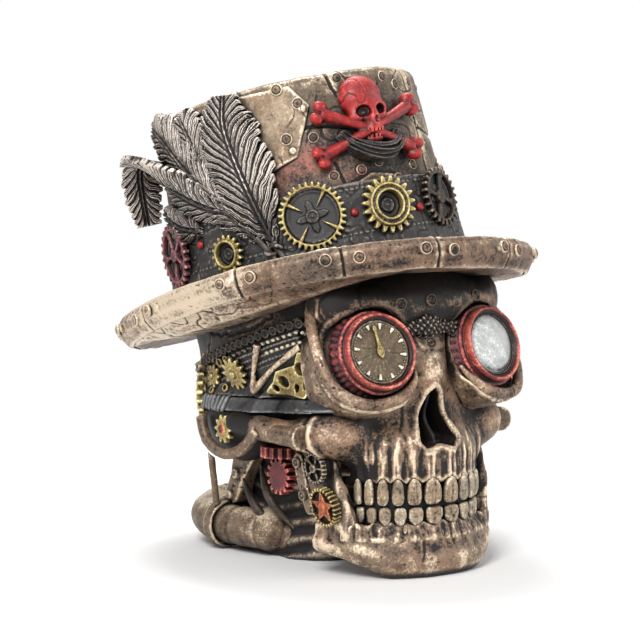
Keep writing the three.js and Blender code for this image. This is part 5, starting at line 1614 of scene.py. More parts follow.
def make_brim():
    cast("brim_sheet", node_quads("hat_brim", 0.55), "brim_bronze", ["hat_brim"], smooth=6,
         relief=brim_relief, stain_and_painted_light=brim_stain)
    cast("brim_edge", node_quads("brim_binding", 0.4), "brim_bronze", ["brim_binding"], smooth=6,
         relief=binding_relief, stain_and_painted_light=brim_stain, grain=0.04)
    angles = [joint + step for joint in binding_joints for step in (-rivet_step, rivet_step)]
    heads = [rivet(1.5, 0.8).moved(*place) for place in binding_places(angles)]
    cast("brim_rivets", joined(heads), "brim_bronze", smooth=0, stain_and_painted_light=brim_stain, grain=0.02)


# Hat band and its gears

# The band's stitches: the length of one, and how far the rows are from the band's two edges.
stitch_length = 2.1
stitch_rows = (3.0, band_height - 2.2)


def band_relief(points, normals):
    """Fine grain, wrinkles, slanting folds and two rows of stitches."""
    angle, z, lift = hat_coordinates(points)
    shift = 0.22 * rough_noise(points * (1, 1, 0.5), 2.4, 39, 3)
    shift -= 0.45 * veins(points, 6.0, 40, 0.05)
    folded = np.column_stack([angle * 0.9 + 0.8 * z, z - 0.4 * angle, lift])
    shift += 0.4 * rough_noise(folded * (0.3, 1, 1), 3.4, 42, 3)
    along = (angle * degree_length / stitch_length) % 1
    raised = smooth_step(np.abs(along - 0.5), 0.42, 0.3)
    for row in stitch_rows:
        shift += 0.5 * bell(z - row, 0.45) * raised - 0.3 * bell(z - row, 0.9)
    return shift


def make_band():
    cast("band_leather", node_quads("hat_band", 0.42), "black_leather_look", ["hat_band"], relief=band_relief,
         grain=0.03)


# The finish of each gear on the band, its angle and share of the band's height, and its shape.
band_gears = {
    "large_band_gear": ("brass_paint", -38.5, 0.57, dict(
        radius=12.2, tooth=1.6, depth=2.4, rim=9.9, hub=0, bar=0.55, teeth=32, spokes=4, turn=0.62,
        pointed=True)),
    "ring_band_gear": ("brass_paint", -9.4, 0.53, dict(
        radius=10.4, tooth=2.3, depth=2.6, rim=5.0, hub=0, teeth=19, sharp=1.2)),
    "side_band_gear": ("dark_bronze", 18.5, 0.56, dict(
        radius=10.8, tooth=1.8, depth=2.4, rim=8.4, hub=2.6, bar=1.1, teeth=24, spokes=4, turn=0.3)),
    "small_band_gear": ("brass_paint", -73, 0.28, dict(
        radius=7.0, tooth=1.5, depth=2.2, rim=4.3, hub=0, teeth=16, sharp=1.2)),
    "rear_band_gear": ("dusty_red", -104, 0.53, dict(
        radius=11.8, tooth=1.5, depth=2.4, rim=9.4, hub=2.4, bar=0.9, teeth=24, spokes=5, turn=0.6)),
}


def raised_rings(gear):
    """Two rounded rings on the face of a gear with one round window."""
    rim, depth = gear["rim"], gear["depth"]
    rings = []
    for inner in (rim - 0.1, gear["radius"] - gear["tooth"] - 1.2):
        rings.append(turned([
            (inner - 0.2, 0.4), (inner, depth + 0.5), (inner + 0.4, depth + 0.85), (inner + 0.9, depth + 0.5),
            (inner + 1.0, 1.0),
        ], 48, ring=True))
    return rings


def make_gear_back(name, gear, axes, place):
    """The dark machined boss that shows through a band gear's windows."""
    wide = gear["rim"] - 0.2
    boss = gear["rim"] * (0.24 if gear.get("spokes") else 0.5)
    plate = turned([
        (0.02, -0.4), (wide, -0.4), (wide, 0.15), (wide * 0.9, 0.3), (wide * 0.84, 0.0), (boss * 1.1, 0.0),
        (boss, 0.9), (boss * 0.75, 1.1), (boss * 0.6, 0.6), (boss * 0.3, 0.7), (0.02, 1.3),
    ], 48)
    arm = [(0, -1.5), (wide * 0.5, -1.1), (wide * 0.62, 0), (wide * 0.5, 1.1), (0, 1.5)]
    arms = [block(arm, -0.3, 0.55).moved(rotation("Z", 90 * quarter + 8)) for quarter in range(4)]
    form = joined([plate] + arms).moved(axes, place)
    cast(name + "_boss", even_quads(form, 0.28), "black_leather_look", smooth=1, grain=0.05, stain_and_painted_light=0.08)


def make_band_gears():
    for name, (finish, angle, share, gear) in band_gears.items():
        axes, place = crown_frame(angle, share * band_height, over_band)
        parts = [gear_form(gear)]
        if not gear["hub"] and not gear.get("spokes"):
            parts += raised_rings(gear)
        parts = [part.moved(axes, place) for part in parts]
        cast(name + "_cast", even_quads(joined(parts), 0.25), finish, [name], smooth=1, grain=0.04)
        make_gear_back(name, gear, axes, place)


# Feathers

# Each feather's route by angle, share of the crown's height and lift in half widths; how wide its vane is
# along it, how far its barbs curl, and how it turns in degrees.
tall_vane = [0.12, 0.4, 0.8, 1.0, 1.1, 1.16, 1.14, 1.0, 0.6]

feather_table = {
    "feather_front": dict(
        angles=[-54, -58, -62, -65, -63], heights=[0.07, 0.3, 0.55, 0.8, 0.985],
        lifts=[0.3, 0.32, 0.32, 0.32, 0.36], half_width=11.8, curl=0.8,
        vane=[0.12, 0.4, 0.84, 1.06, 1.12, 1.12, 1.06, 0.92, 0.5]),
    "feather_second": dict(
        angles=[-58, -69, -78, -84, -88], heights=[0.1, 0.36, 0.62, 0.82, 0.96],
        lifts=[0.2, 0.2, 0.2, 0.2, 0.22], half_width=9.0, curl=0.8, vane=tall_vane),
    "feather_middle": dict(
        angles=[-60, -72, -86, -99, -110], heights=[0.12, 0.36, 0.6, 0.82, 0.96],
        lifts=[0.3, 0.22, 0.2, 0.2, 0.26], half_width=10.5, curl=0.8, vane=tall_vane),
    "feather_rear": dict(
        angles=[-63, -80, -96, -109, -120, -127, -129], heights=[0.26, 0.39, 0.56, 0.72, 0.78, 0.66, 0.42],
        lifts=[0.3, 0.35, 0.45, 0.65, 0.85, 0.95, 0.9], half_width=9.0, curl=0.6,
        vane=[0.15, 0.5, 0.8, 0.95, 0.95, 0.9, 0.9, 0.85, 0.55], twists=[0, 0, 10, 40, 68, 84, 88]),
    "feather_small": dict(
        angles=[-84, -92, -99, -105], heights=[0.26, 0.3, 0.36, 0.46],
        lifts=[0.5, 0.6, 0.7, 0.9], half_width=4.5, curl=0.6,
        vane=[0.3, 0.8, 1.2, 1.5, 1.6, 1.5, 1.3, 1.0, 0.5]),
}

# Rows along a feather and columns across it, and how far below its route its underside is.
feather_rows = 420
feather_columns = 121
feather_under = -1.4

# Millimetres along the quill from tuft to tuft, from barb to barb and from one fine barb to the next.
tuft_length = 3.6
barb_length = 0.9
fine_barb_length = 0.47


def along_shares(values, share):
    """Values given at even steps, read off at shares of the way."""
    return np.interp(share, np.linspace(0, 1, len(values)), values)


def feather_relief(entry, wide, length, seed):
    """How far sideways and how high each point of a feather is, and how deep in the paint."""
    half_width = entry["half_width"]
    share = np.linspace(0, 1, feather_rows)[:, None]
    across = np.linspace(-1, 1, feather_columns)[None, :]
    reach = np.abs(across)
    grid = np.stack(np.broadcast_arrays(share * length, across * half_width, 0 * share), -1).reshape(-1, 3)
    waver = rough_noise(grid, 7.0, seed, 3).reshape(feather_rows, feather_columns)
    # Barbs leave the quill close along it and bend outwards; travel is where each one starts.
    slant = (2.1 * reach - 0.95 * reach ** 2) * wide
    travel = share * length - slant + 1.9 * waver
    lump = travel / tuft_length + np.where(across > 0, 0.37, 0)
    tuft = np.floor(lump)
    phase = lump - tuft
    chance = lattice_value(tuft.astype(np.int64), (across > 0).astype(np.int64) + 2, 0, seed)
    ridge = smooth_step(phase, 0, 0.35) * smooth_step(phase, 1, 0.86)
    fine = np.sin(2 * np.pi * (travel / barb_length + 0.5 * waver))
    finer = np.sin(2 * np.pi * (travel / fine_barb_length - 0.7 * waver))
    # The vane's edge breaks into tufts of unequal reach, each with a rounded tip.
    cut = 1 - 0.2 * (1 - ridge) * reach ** 5 - 0.2 * chance * reach ** 2
    offset = across * wide * cut
    thick = np.sqrt(wide / half_width + 0.05)
    barbs = 1.1 * ridge * (0.35 + 0.65 * phase) + 0.26 * fine + 0.1 * finer - 0.4
    lift = 2.0 * (1 - reach ** 1.9) * thick + smooth_step(reach, 0, 0.3) * barbs
    lift = lift + entry["curl"] * (chance - 0.3) * reach ** 2 * ridge * 2.2
    quill_width = 0.6 - 0.3 * share
    quill = np.exp(-(offset / quill_width) ** 4)
    lift = lift * (1 - quill) + quill * (2.2 * thick - 0.3 * (offset / quill_width) ** 2)
    lift = lift - 0.8 * bell(np.abs(offset) - quill_width - 0.4, 0.35)
    depth = 0.24 * bell(reach, 0.22) + 0.3 * (1 - ridge) - 0.06
    blotch = value_noise(grid, 8.0, seed + 40).reshape(feather_rows, feather_columns) - 0.5
    return offset, lift, depth + 0.25 * blotch


def feather_sheet(entry, seed):
    """One feather laid over the crown, with how deep in the paint each point is."""
    half_width = entry["half_width"]
    over = seat_gap + np.array(entry["lifts"]) * half_width
    route = np.column_stack([on_crown(list(zip(entry["angles"], entry["heights"]))), over])
    route = spline(route, feather_rows)
    length = np.linalg.norm(np.diff(route[:, :2], axis=0), axis=1).sum()
    share = np.linspace(0, 1, feather_rows)[:, None]
    wide = half_width * along_shares(entry["vane"], share)
    twist = np.radians(along_shares(entry.get("twists", [0]), share))
    offset, lift, depth = feather_relief(entry, wide, length, seed)

    def laid(height):
        sideways = offset * np.cos(twist) - height * np.sin(twist)
        away = offset * np.sin(twist) + height * np.cos(twist)
        return beside_route(route[:, :2], sideways, route[:, 2:3] + away)

    form = closed_sheet(laid(lift), laid(feather_under + 0 * lift))
    return form, np.concatenate([depth.ravel(), 0.3 + 0 * depth.ravel()])


def make_feathers():
    for seed, (name, entry) in enumerate(feather_table.items(), 101):
        form, depth = feather_sheet(entry, seed)
        nodes = [name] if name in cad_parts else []
        cast(name + "_vane", form, "silver_grey", nodes, smooth=1, stain_and_painted_light=depth, grain=0.03)


# The bare quills below the feathers: angles, shares of the crown's height and lift in millimetres.
quill_lift = 4.2
quill_routes = [[(-54, 0.09), (-51.5, 0.0), (-49, -0.06)], [(-60, 0.14), (-56, 0.04), (-53, -0.05)]]


def make_quills():
    """The bare quills that tuck under the band, tied with a ring."""
    parts = []
    for places in quill_routes:
        route = [crown_point(angle, share * crown_height, quill_lift) for angle, share in places]
        parts.append(tube(route, lambda share: 1.25 - 0.35 * share, 14, count=24))
    knot = [crown_point(-54.5 + 3 * math.cos(t), 3.2 + 1.4 * math.sin(t), 4.6 + 1.1 * math.sin(2 * t))
            for t in full_turn(8)]
    parts.append(tube(knot, 0.7, 10, closed=True, count=32))
    cast("feather_quills", even_quads(joined(parts), 0.3), "silver_grey", smooth=1, grain=0.05)


# Emblem on the hat

# Where the emblem is, as angle and share of the crown's height, and the two ends of each of its bones.
emblem_angle = -8.2
emblem_share = 0.75
bone_ends = [((-27.5, 0.755), (11, 0.49)), ((14.5, 0.74), (-30, 0.51))]
bone_lift = 2.7


def emblem_axes():
    """Axes and place of the emblem: x across, y up and z away from the hat."""
    return crown_frame(emblem_angle, emblem_share * crown_height, seat_gap)


# Each rounded lump of the little skull with how far it flows into those before it.
emblem_lumps = [
    ((-0.6, 4.2, 0.6), (8.3, 7.8, 5.6), 0), ((1.0, -0.4, 2.6), (7.2, 3.2, 3.4), 2.0),
    ((1.4, -4.2, 3.4), (2.6, 4.0, 3.4), 1.6), ((1.2, -8.0, 2.6), (4.3, 3.6, 3.4), 1.4),
    ((1.2, -11.0, 2.0), (4.0, 2.6, 2.9), 0.8),
]
emblem_cheeks = [((-4.4, -2.8, 2.4), (3.0, 2.6, 2.6)), ((5.2, -3.0, 2.2), (2.6, 2.4, 2.4))]
emblem_eyes = [((-2.4, -1.5, 6.4), (2.9, 2.2, 4.4)), ((4.7, -1.2, 5.6), (2.1, 1.7, 4.2))]


def emblem_skull_distance(x, y, z):
    """A small skull turned a little to its left."""
    head, brow, nose, muzzle, jaw = [(ellipsoid(x, y, z, *lump), blend) for *lump, blend in emblem_lumps]
    right, left = [ellipsoid(x, y, z, *cheek) for cheek in emblem_cheeks]
    body = head[0]
    for part, blend in (brow, (blend_min(right, left, 1.5), 1.6), nose, muzzle, jaw):
        body = blend_min(body, part, blend)
    for eye in emblem_eyes:
        body = blend_max(body, -ellipsoid(x, y, z, *eye), 0.7)
    body = blend_max(body, -ellipsoid(x, y, z, (2.0, -5.0, 7.4), (1.2, 1.5, 2.2)), 0.5)
    mouth = np.maximum(abs(y + 9.6) - 0.28, abs(x - 1.2) - 3.4)
    teeth = np.maximum(abs((x + 20) % 1.5 - 0.75) - 0.16, abs(y + 9.6) - 1.6)
    cut = np.maximum(np.minimum(mouth, np.maximum(teeth, abs(x - 1.2) - 3.2)), 3.4 - z)
    return blend_max(np.maximum(body, 0.2 - z), -cut, 0.3)


def emblem_stain(points):
    """Black wash in the little skull's eyes and nose."""
    axes, place = emblem_axes()
    x, y, z = ((points - place) @ axes).T
    dark = 0.0
    for across, up, wide, tall in ((-2.3, -1.4, 2.3, 1.9), (4.6, -1.2, 1.8, 1.6), (2.0, -5.0, 1.1, 1.4)):
        dark = np.maximum(dark, np.exp(-np.hypot((x - across) / wide, (y - up) / tall) ** 4))
    return dark * smooth_step(z, 5.6, 4.6) - 0.04


def emblem_head_relief(points, normals):
    return -0.25 * veins(points, 7.0, 111, 0.03) + 0.16 * rough_noise(points, 3, 112, 2)


def bone_form(start, end):
    """A bone bent round the crown, thicker towards its ends, with two knobs at each."""
    middle = (0.5 * (start[0] + end[0]), 0.5 * (start[1] + end[1]))
    route = [crown_point(angle, share * crown_height, bone_lift) for angle, share in (start, middle, end)]
    parts = [tube(route, lambda share: 1.75 + 0.6 * abs(2 * share - 1) ** 2, 20)]
    across = unit(route[0] - route[-1])
    for tip, sign in ((route[0], 1), (route[-1], -1)):
        axis_foot = hat_place + hat_turn @ np.array([0, 0, (tip - hat_place) @ hat_turn[:, 2]])
        outwards = unit(tip - axis_foot)
        other = unit(np.cross(across, outwards))
        for hand in (-1, 1):
            centre = tip + sign * across * 0.9 + other * hand * 2.1
            knob = ball((0, 0, 0), (2.7, 2.3, 2.5))
            parts.append(knob.moved(np.column_stack([across, other, outwards]), centre))
    return joined(parts)


# The scarf's route under the emblem, as angle and share of the crown's height, and half its width.
scarf_places = [
    (-21.5, 0.625), (-18, 0.56), (-12.5, 0.51), (-6.5, 0.488), (-0.5, 0.5), (4.0, 0.545), (6.5, 0.6),
]
scarf_half_width = 3.5


def make_scarf():
    """The knotted scarf under the emblem, with folds along it."""
    route = spline(on_crown(scarf_places), 180)
    share = np.linspace(0, 1, len(route))[:, None]
    across = np.linspace(-1, 1, 81)[None, :]
    wide = scarf_half_width * (0.5 + 0.5 * np.sin(np.pi * np.clip(share * 0.9 + 0.05, 0, 1)))
    folds = np.sin(across * 7.5 + 2.2 * np.sin(share * 5)) + 0.8 * np.sin(across * 15 - share * 9)
    over_bones = 3.4 * np.sin(np.pi * share) ** 0.8
    lift = 0.5 + (1.9 + over_bones) * np.sqrt(np.clip(1 - across ** 4, 0, 1)) + 0.5 * folds
    top, under = [beside_route(route, across * wide, over) for over in (lift, 0.1 + 0 * lift)]
    cast("emblem_scarf", closed_sheet(top, under), "black_leather_look", ["emblem_ribbon"], smooth=1)


def make_emblem():
    head = from_field(emblem_skull_distance, (-10.0, -15.0, -0.6), (10.0, 14.0, 8.0), 0.28)
    cast("emblem_head", head.moved(*emblem_axes()), "red_paint", ["emblem_skull"], relief=emblem_head_relief,
         stain_and_painted_light=emblem_stain, grain=0.07)
    bones = joined([bone_form(start, end) for start, end in bone_ends])
    cast("emblem_bones", even_quads(bones, 0.28), "red_paint", ["emblem_crossbones"], smooth=3,
         relief=noise_relief(0.2, 2.6, 113), grain=0.07)
    make_scarf()


# Goggles

# How many knurls there are round a goggle's rear ring.
knurl_count = 38


def knurl_wave(angle, row):
    """How far the knurls stand out of the outer rows of the ring's profile."""
    uneven = angle * knurl_count / 2 + 0.5 * np.sin(angle * 3 + 1) + 0.4 * np.sin(angle * 7)
    return 0.9 * (np.abs(np.sin(uneven)) ** 0.7 - 0.5) if 1 <= row <= 5 else 0.0


def knurled_form():
    return turned([
        (13.6, -9.9), (15.6, -9.9), (16.2, -9.2), (16.2, -8.2), (15.8, -7.2), (15.0, -6.4), (14.8, -5.6),
        (14.4, -5.1), (13.6, -5.1),
    ], 360, knurl_wave, ring=True)


def barrel_form():
    """Stepped rings between the knurls and the bezel."""
    return turned([
        (0.02, -9.7), (13.2, -9.7), (13.2, -5.2), (14.3, -5.1), (15.0, -4.7), (15.2, -4.2), (14.9, -3.7),
        (14.2, -3.5), (13.9, -3.7), (13.6, -3.7), (13.3, -3.1), (0.02, -3.1),
    ], 160)


def bezel_form():
    """The rounded front ring that holds a lens or a dial."""
    return turned([
        (11.3, -2.9), (13.6, -2.9), (13.9, -2.3), (13.85, -1.2), (13.45, -0.4), (12.95, -0.12), (12.5, -0.5),
        (12.1, -1.1), (11.5, -1.6), (11.3, -2.2),
    ], 160, ring=True)


def ring_stain(hand):
    """Dark paint on the inner slope of the bezel and in patches of the rings behind it."""
    def stain_and_painted_light(points):
        out, up, lift = goggle_local(points, hand)
        inner = smooth_step(np.hypot(out, up), 12.6, 11.9) * (lift > -3)
        behind = 0.12 * smooth_step(lift, -3.2, -4.6)
        return 0.4 * inner + behind + 0.25 * (value_noise(points, 5.0, 145) - 0.6)
    return stain_and_painted_light


def cup_relief(points, normals):
    return 0.3 * rough_noise(points, 6.0, 141, 3) - 0.25 * pits(points, 1.5, 142, 0.76)


def cup_stain(hand):
    def stain_and_painted_light(points):
        out, up = goggle_local(points, hand)[:2]
        upper = smooth_step(up, 6, 10)
        inner = smooth_step(-out, 8, 12) * smooth_step(up, -10, -5)
        return 0.42 * np.maximum(upper, inner) + mottled(points)
    return stain_and_painted_light


def cup_form(hand, node):
    """The cup, its wall lower towards the nose."""
    axes, place = goggle_frame(hand)
    form = node_quads(node, 0.42)
    local = (form.points - place) @ axes
    local[:, 2] -= 4.0 * smooth_step(-hand * local[:, 0], 6, 13) * smooth_step(local[:, 1], -15, -8)
    form.points = local @ axes.T + place
    return form


def mottled(points):
    """Blotches and specks of dark paint."""
    return 0.34 * (value_noise(points, 5.0, 181) - 0.5) + 0.12 * rough_noise(points, 1.3, 182, 2)


# The bright rolled rim of a goggle cup: outwards, up and forward in the goggle's own frame.
rim_places = [
    (17.2, 18.5, -17.5), (19.0, 14.5, -14.0), (20.2, 8, -11.4), (20.0, 2, -10.2), (19.4, -4, -9.4),
    (17.7, -9.8, -8.0), (13.4, -15, -5.6), (8, -17.8, -4.1), (2, -18.2, -3.4), (-4, -17.1, -3.1),
    (-9.3, -14.4, -3.3), (-13.2, -10.2, -4.4), (-15.0, -6.0, -6.0),
]


def rim_form(hand):
    """The rolled rim as a bar that thins out at both ends."""
    axes, place = goggle_frame(hand)
    route = [axes @ np.array([hand * out, up, lift]) + place for out, up, lift in rim_places]
    return tube(route, lambda share: 2.1 * min(1.0, 0.8 + 3 * share, 0.35 + 4 * (1 - share)), 24, count=120)


def dial_relief(points, normals):
    """Fine rays from the middle of the dial outwards."""
    across, up = goggle_local(points, -1)[:2]
    turn = np.arctan2(up, -across)
    away = np.hypot(across, up)
    ray = rough_noise(np.column_stack([turn * 9, away * 0.25, 0 * away]), 1.0, 121, 2)
    return 0.16 * ray * smooth_step(away, 1, 4) + 0.08 * rough_noise(points, 1.1, 122, 2)


# The dial's marks: how far round the first one is, where they end, and how long the quarter ones and the
# others are.
first_mark = 8
mark_end = 10.1
quarter_mark = 2.1
other_mark = 1.7


def make_dial_marks(axes, place):
    """Twelve tapering marks with three dots between each two."""
    marks = []
    for hour in range(12):
        turn = math.radians(30 * hour + first_mark)
        long = quarter_mark if hour % 3 == 0 else other_mark
        direction = np.array([math.sin(turn), math.cos(turn), 0])
        start, end = direction * mark_end + (0, 0, -2.0), direction * (mark_end - long) + (0, 0, -2.0)
        marks.append(tube([start, (start + end) / 2, end], lambda share: 0.72 - 0.42 * share, 12, count=8))
    for small in range(48):
        if small % 4:
            turn = math.radians(7.5 * small + first_mark)
            marks.append(ball((10.0 * math.sin(turn), 10.0 * math.cos(turn), -2.1), (0.2, 0.2, 0.22), 8))
    cast("dial_marks", joined(marks).moved(axes, place), "tick_paint", smooth=0, grain=0)


# The right half of the needle's outline, from its tail to its tip.
needle_half = [
    (0, -2.5), (0.6, -2.0), (1.1, -1.1), (1.45, 0.0), (1.25, 0.9), (0.7, 1.9), (0.45, 4.0), (0.36, 7.2),
    (0.75, 8.0), (0.6, 8.9), (0, 9.6),
]
needle_lean = 9


def make_dial(axes, place):
    face = turned([
        (0.02, -2.95), (11.3, -2.95), (11.3, -2.0), (10.95, -2.0), (10.5, -2.3), (4.2, -2.25), (3.8, -2.1),
        (3.4, -2.2), (0.02, -2.1),
    ], 96).moved(axes, place)
    cast("dial_plate", even_quads(face, 0.28), "dial_face", ["gauge_dial"], smooth=1, relief=dial_relief,
         grain=0.04)
    make_dial_marks(axes, place)
    outline = needle_half + [(-x, y) for x, y in needle_half[-2:0:-1]]
    needle = block(outline, -2.0, -1.05).moved(rotation("Z", needle_lean))
    hub = ball((0, 0, -1.2), (1.0, 1.0, 0.6), 20)
    form = even_quads(joined([needle, hub]).moved(axes, place), 0.16)
    cast("dial_pointer", form, "brass_paint", ["gauge_needle"], grain=0.02, tint=0.0)


def painted_lens_reflections(points):
    """Painted reflections and shade on the glass: a dark crescent towards the temple, a darker rim and long
    pale streaks.
    """
    out, up, lift = goggle_local(points, 1)
    away = np.hypot(out + 0.8, up - 0.5)
    crescent = 0.5 * smooth_step(away, 8.6, 10.9) * smooth_step(out - up, -9, 2)
    edge = 0.3 * smooth_step(np.hypot(out, up), 9.6, 10.7)
    across = np.column_stack([0.7 * out + 0.7 * up, 0.16 * (out - up), lift])
    streak = rough_noise(across, 1.6, 132, 2)
    return np.maximum(crescent, edge) + 0.12 * streak - 0.08


def make_lens(axes, place):
    """The domed lens and the dark ring that it sits in."""
    seat = turned([(10.6, -2.9), (11.35, -2.9), (11.35, -1.9), (11.1, -1.6), (10.7, -1.9)], 96, ring=True)
    cast("lens_seat", even_quads(seat.moved(axes, place), 0.24), "dark_bronze", smooth=1, grain=0.04)
    rows = [(10.8 * share, -2.3 + 3.0 * (1 - share ** 2.6)) for share in np.linspace(1, 0.002, 60)]
    form = turned([(0.02, -2.95), (10.9, -2.95), (10.9, -2.7)] + rows, 160).moved(axes, place)
    cast("lens_dome", form, "pale_lens", ["glass_lens_left"], smooth=1, stain_and_painted_light=painted_lens_reflections,
         relief=noise_relief(0.22, 6.5, 131, 2), grain=0)


# Where the slotted screws of the brow sheet and the cups sit.
screw_places = [
    (-33.8, -47, 96.6), (-14.2, -56.7, 96.9), (-1.5, -57.9, 97.8), (21.3, -55, 98.3), (34.5, -46.5, 96.6),
    (-1.8, -58.5, 82.7), (-42.5, -22, 97.5), (42.5, -22, 97.5),
]


def make_brow_screws():
    heads = [ringed_screw(1.25, 37 * index).moved(*seated(place, 0.7))
             for index, place in enumerate(screw_places)]
    cast("brow_screws", joined(heads), "bronze_paint", smooth=0, grain=0.02)


def bridge_relief(points, normals):
    """Knots all over, like a woven pad."""
    x, y, z = points.T
    weave = np.cos(x * 2.6 + 0.8 * np.sin(z)) * np.cos(z * 2.4 + 0.7 * np.sin(x * 1.3))
    return 0.6 * weave + 0.35 * rough_noise(points, 2.4, 144, 3)


# The bridge's route, thickest at this share of it, and how flat it is from front to back.
bridge_places = [
    (-12.5, -56.5, 87.0), (-6, -58.0, 88.2), (-1, -58.6, 88.6), (5, -57.6, 88.0), (12.5, -55.5, 87.0),
]
bridge_thickest = 0.42
bridge_flatness = 0.7


def make_bridge():
    """The dark knotted bridge that joins the two goggles."""
    bar = tube(bridge_places, lambda share: 2.3 + 1.9 * bell(share - bridge_thickest, 0.17), 32, count=60)
    bar.points[:, 1] = -56.6 + bridge_flatness * (bar.points[:, 1] + 58)
    cast("bridge_knot", even_quads(bar, 0.3), "dark_bronze", ["nose_bridge"], relief=bridge_relief, stain_and_painted_light=0.2,
         grain=0.03)


# The rings of a goggle from the rear: form, start of the node's name, step of the mesh and paint.
goggle_rings = {
    "knurls": (knurled_form, "knurled_ring_", 0.24, "dark_red"),
    "steps": (barrel_form, "lens_barrel_", 0.26, "dark_red"),
    "bezel": (bezel_form, "bezel_ring_", 0.22, "copper_red"),
}


def make_goggles():
    for side, hand in (("right", -1), ("left", 1)):
        axes, place = goggle_frame(hand)
        cup = "goggle_cup_" + side
        cast("cup_" + side, cup_form(hand, cup), "bronze_paint", [cup], smooth=9, relief=cup_relief,
             stain_and_painted_light=cup_stain(hand), grain=0.05)
        cast("cup_rim_" + side, even_quads(rim_form(hand), 0.34), "aged_bone", smooth=3, relief=cup_relief,
             stain_and_painted_light=mottled, grain=0.04)
        for name, (form, node, step, paint) in goggle_rings.items():
            cast(f"goggle_{name}_{side}", even_quads(form().moved(axes, place), step), paint, [node + side],
                 smooth=1, relief=noise_relief(0.16, 2.4, 143), stain_and_painted_light=ring_stain(hand), grain=0.03)
    make_dial(*goggle_frame(-1))
    make_lens(*goggle_frame(1))
    make_brow_screws()
    make_bridge()


# Skull's sides

# The upper edge of the head strap on the skull's side, as shares of its length and height.
strap_top_shares = [(-0.53, 0.915), (-0.22, 0.85), (0.44, 0.72), (1.3, 0.62)]

# How far over the skull the pieces on the strap stand.
over_strap = 2.6


def strap_top(y_share):
    """The strap's upper edge as a share of the skull's height."""
    return np.interp(y_share, *zip(*strap_top_shares))


# From rib to rib and from thread to thread of the strap, and how far down the ribs go.
strap_rib = 2.2
strap_thread = 1.5
ribbed_width = 13


def strap_relief(points, normals):
    """Ribs along the strap with threads across them."""
    x, y, z = points.T
    below = strap_top(y / skull_size[1]) * skull_size[2] - z
    ribs = np.cos(below * 2 * np.pi / strap_rib) * (below < ribbed_width)
    weave = np.cos(y * 2 * np.pi / strap_thread) * 0.35
    return 0.35 * ribs * (0.8 + weave) + 0.15 * rough_noise(points, 2.0, 151, 2)


def belt_relief(points, normals):
    """Upright ribs on the rear half of the belt."""
    y = points[:, 1]
    ribs = np.cos(y * 2 * np.pi / 2.5)
    return smooth_step(y, 0, 3) * 0.75 * ribs + 0.1 * rough_noise(points, 5.0, 152, 2)


# The rows of studs in front: how far below the strap's edge, and where along the skull they start and end.
stud_rows = (5.0, 8.6)
stud_start = -0.56
stud_end = -0.3
stud_step = 0.036


def make_straps():
    cast("strap_cloth", node_quads("head_strap", 0.4), "black_leather_look", ["head_strap"],
         relief=strap_relief, grain=0.03)
    cast("belt_rubber", node_quads("lower_belt", 0.4), "grey_rubber_look", ["lower_belt"], smooth=8,
         relief=belt_relief, grain=0.01)
    studs = []
    for hand in (-1, 1):
        for row, below in enumerate(stud_rows):
            for y_share in np.arange(stud_start + 0.02 * row, stud_end, stud_step):
                z_share = strap_top(y_share) - below / skull_size[2]
                stud = ball((0, 0, 0), (0.8, 0.62, 0.8), 12)
                studs.append(stud.moved(*side_frame(y_share, z_share, 2.7, hand)))
    cast("strap_studs", joined(studs), "tick_paint", smooth=0, grain=0)


def make_belt_ends():
    """The belt's front ends, tucked behind the goggle rims."""
    rows = np.linspace(-34, -49.5, 60)[:, None]
    across = np.linspace(-1, 1, 25)[None, :]
    z = 61.2 + 0.05 * (-rows - 34) + 2.9 * across
    for side, hand in (("right", -1), ("left", 1)):
        top = side_point(rows, z, 0.2 + 3.1 * np.sqrt(1 - across ** 6), hand)
        under = side_point(rows, z, 0.1, hand)
        cast("belt_end_" + side, closed_sheet(top, under), "grey_rubber_look", grain=0.01)


# How far below the strap's edge the chain runs, and the step from ring to ring, as shares of the skull.
chain_below = 0.018
chain_step = 0.052


def chain_link(y_share, z_share, hand):
    """A ring with its pin, and the ball that joins it to the strap."""
    ring = turned([
        (0.7, -1.2), (1.75, -1.2), (1.75, 0.5), (1.5, 0.95), (1.1, 0.9), (0.85, 0.3), (0.7, 0.0),
    ], 24, ring=True)
    pin = ball((0, 0, -0.3), (0.7, 0.7, 1.0), 12)
    axes, place = side_frame(y_share, z_share, 3.0, hand)
    joint = ball((0, 0, 0), (0.9, 0.9, 1.1), 12)
    lower = side_frame(y_share + chain_step / 2, z_share - 2 * chain_below, 2.4, hand)
    return joined([ring.moved(axes, place), pin.moved(axes, place), joint.moved(*lower)])


def make_chains():
    """A chain of pinned rings along the strap's upper edge."""
    stops = np.arange(-0.6, 0.34, chain_step)
    for side, hand in (("right", -1), ("left", 1)):
        parts = [chain_link(y_share, strap_top(y_share) - chain_below, hand) for y_share in stops]
        bar_stops = stops[::3]
        heights = (strap_top(bar_stops) - chain_below) * skull_size[2]
        parts.append(tube(side_point(bar_stops * skull_size[1], heights, 2.7, hand), 0.9, 10))
        cast("chain_" + side, even_quads(joined(parts), 0.25), "dark_bronze", ["strap_chain_" + side],
             smooth=1, grain=0.03, stain_and_painted_light=0.08)


# The gears on the right temple: where along and up the skull, and their shape.
side_gears = {
    "temple_gear_right": (-0.03, 0.703, dict(
        radius=6.4, tooth=2.0, depth=2.0, rim=0, hub=0, teeth=12, sharp=1.0)),
    "small_temple_gear_right": (0.2, 0.68, dict(
        radius=4.4, tooth=1.3, depth=1.8, rim=0, hub=0, teeth=9, sharp=1.0)),
}


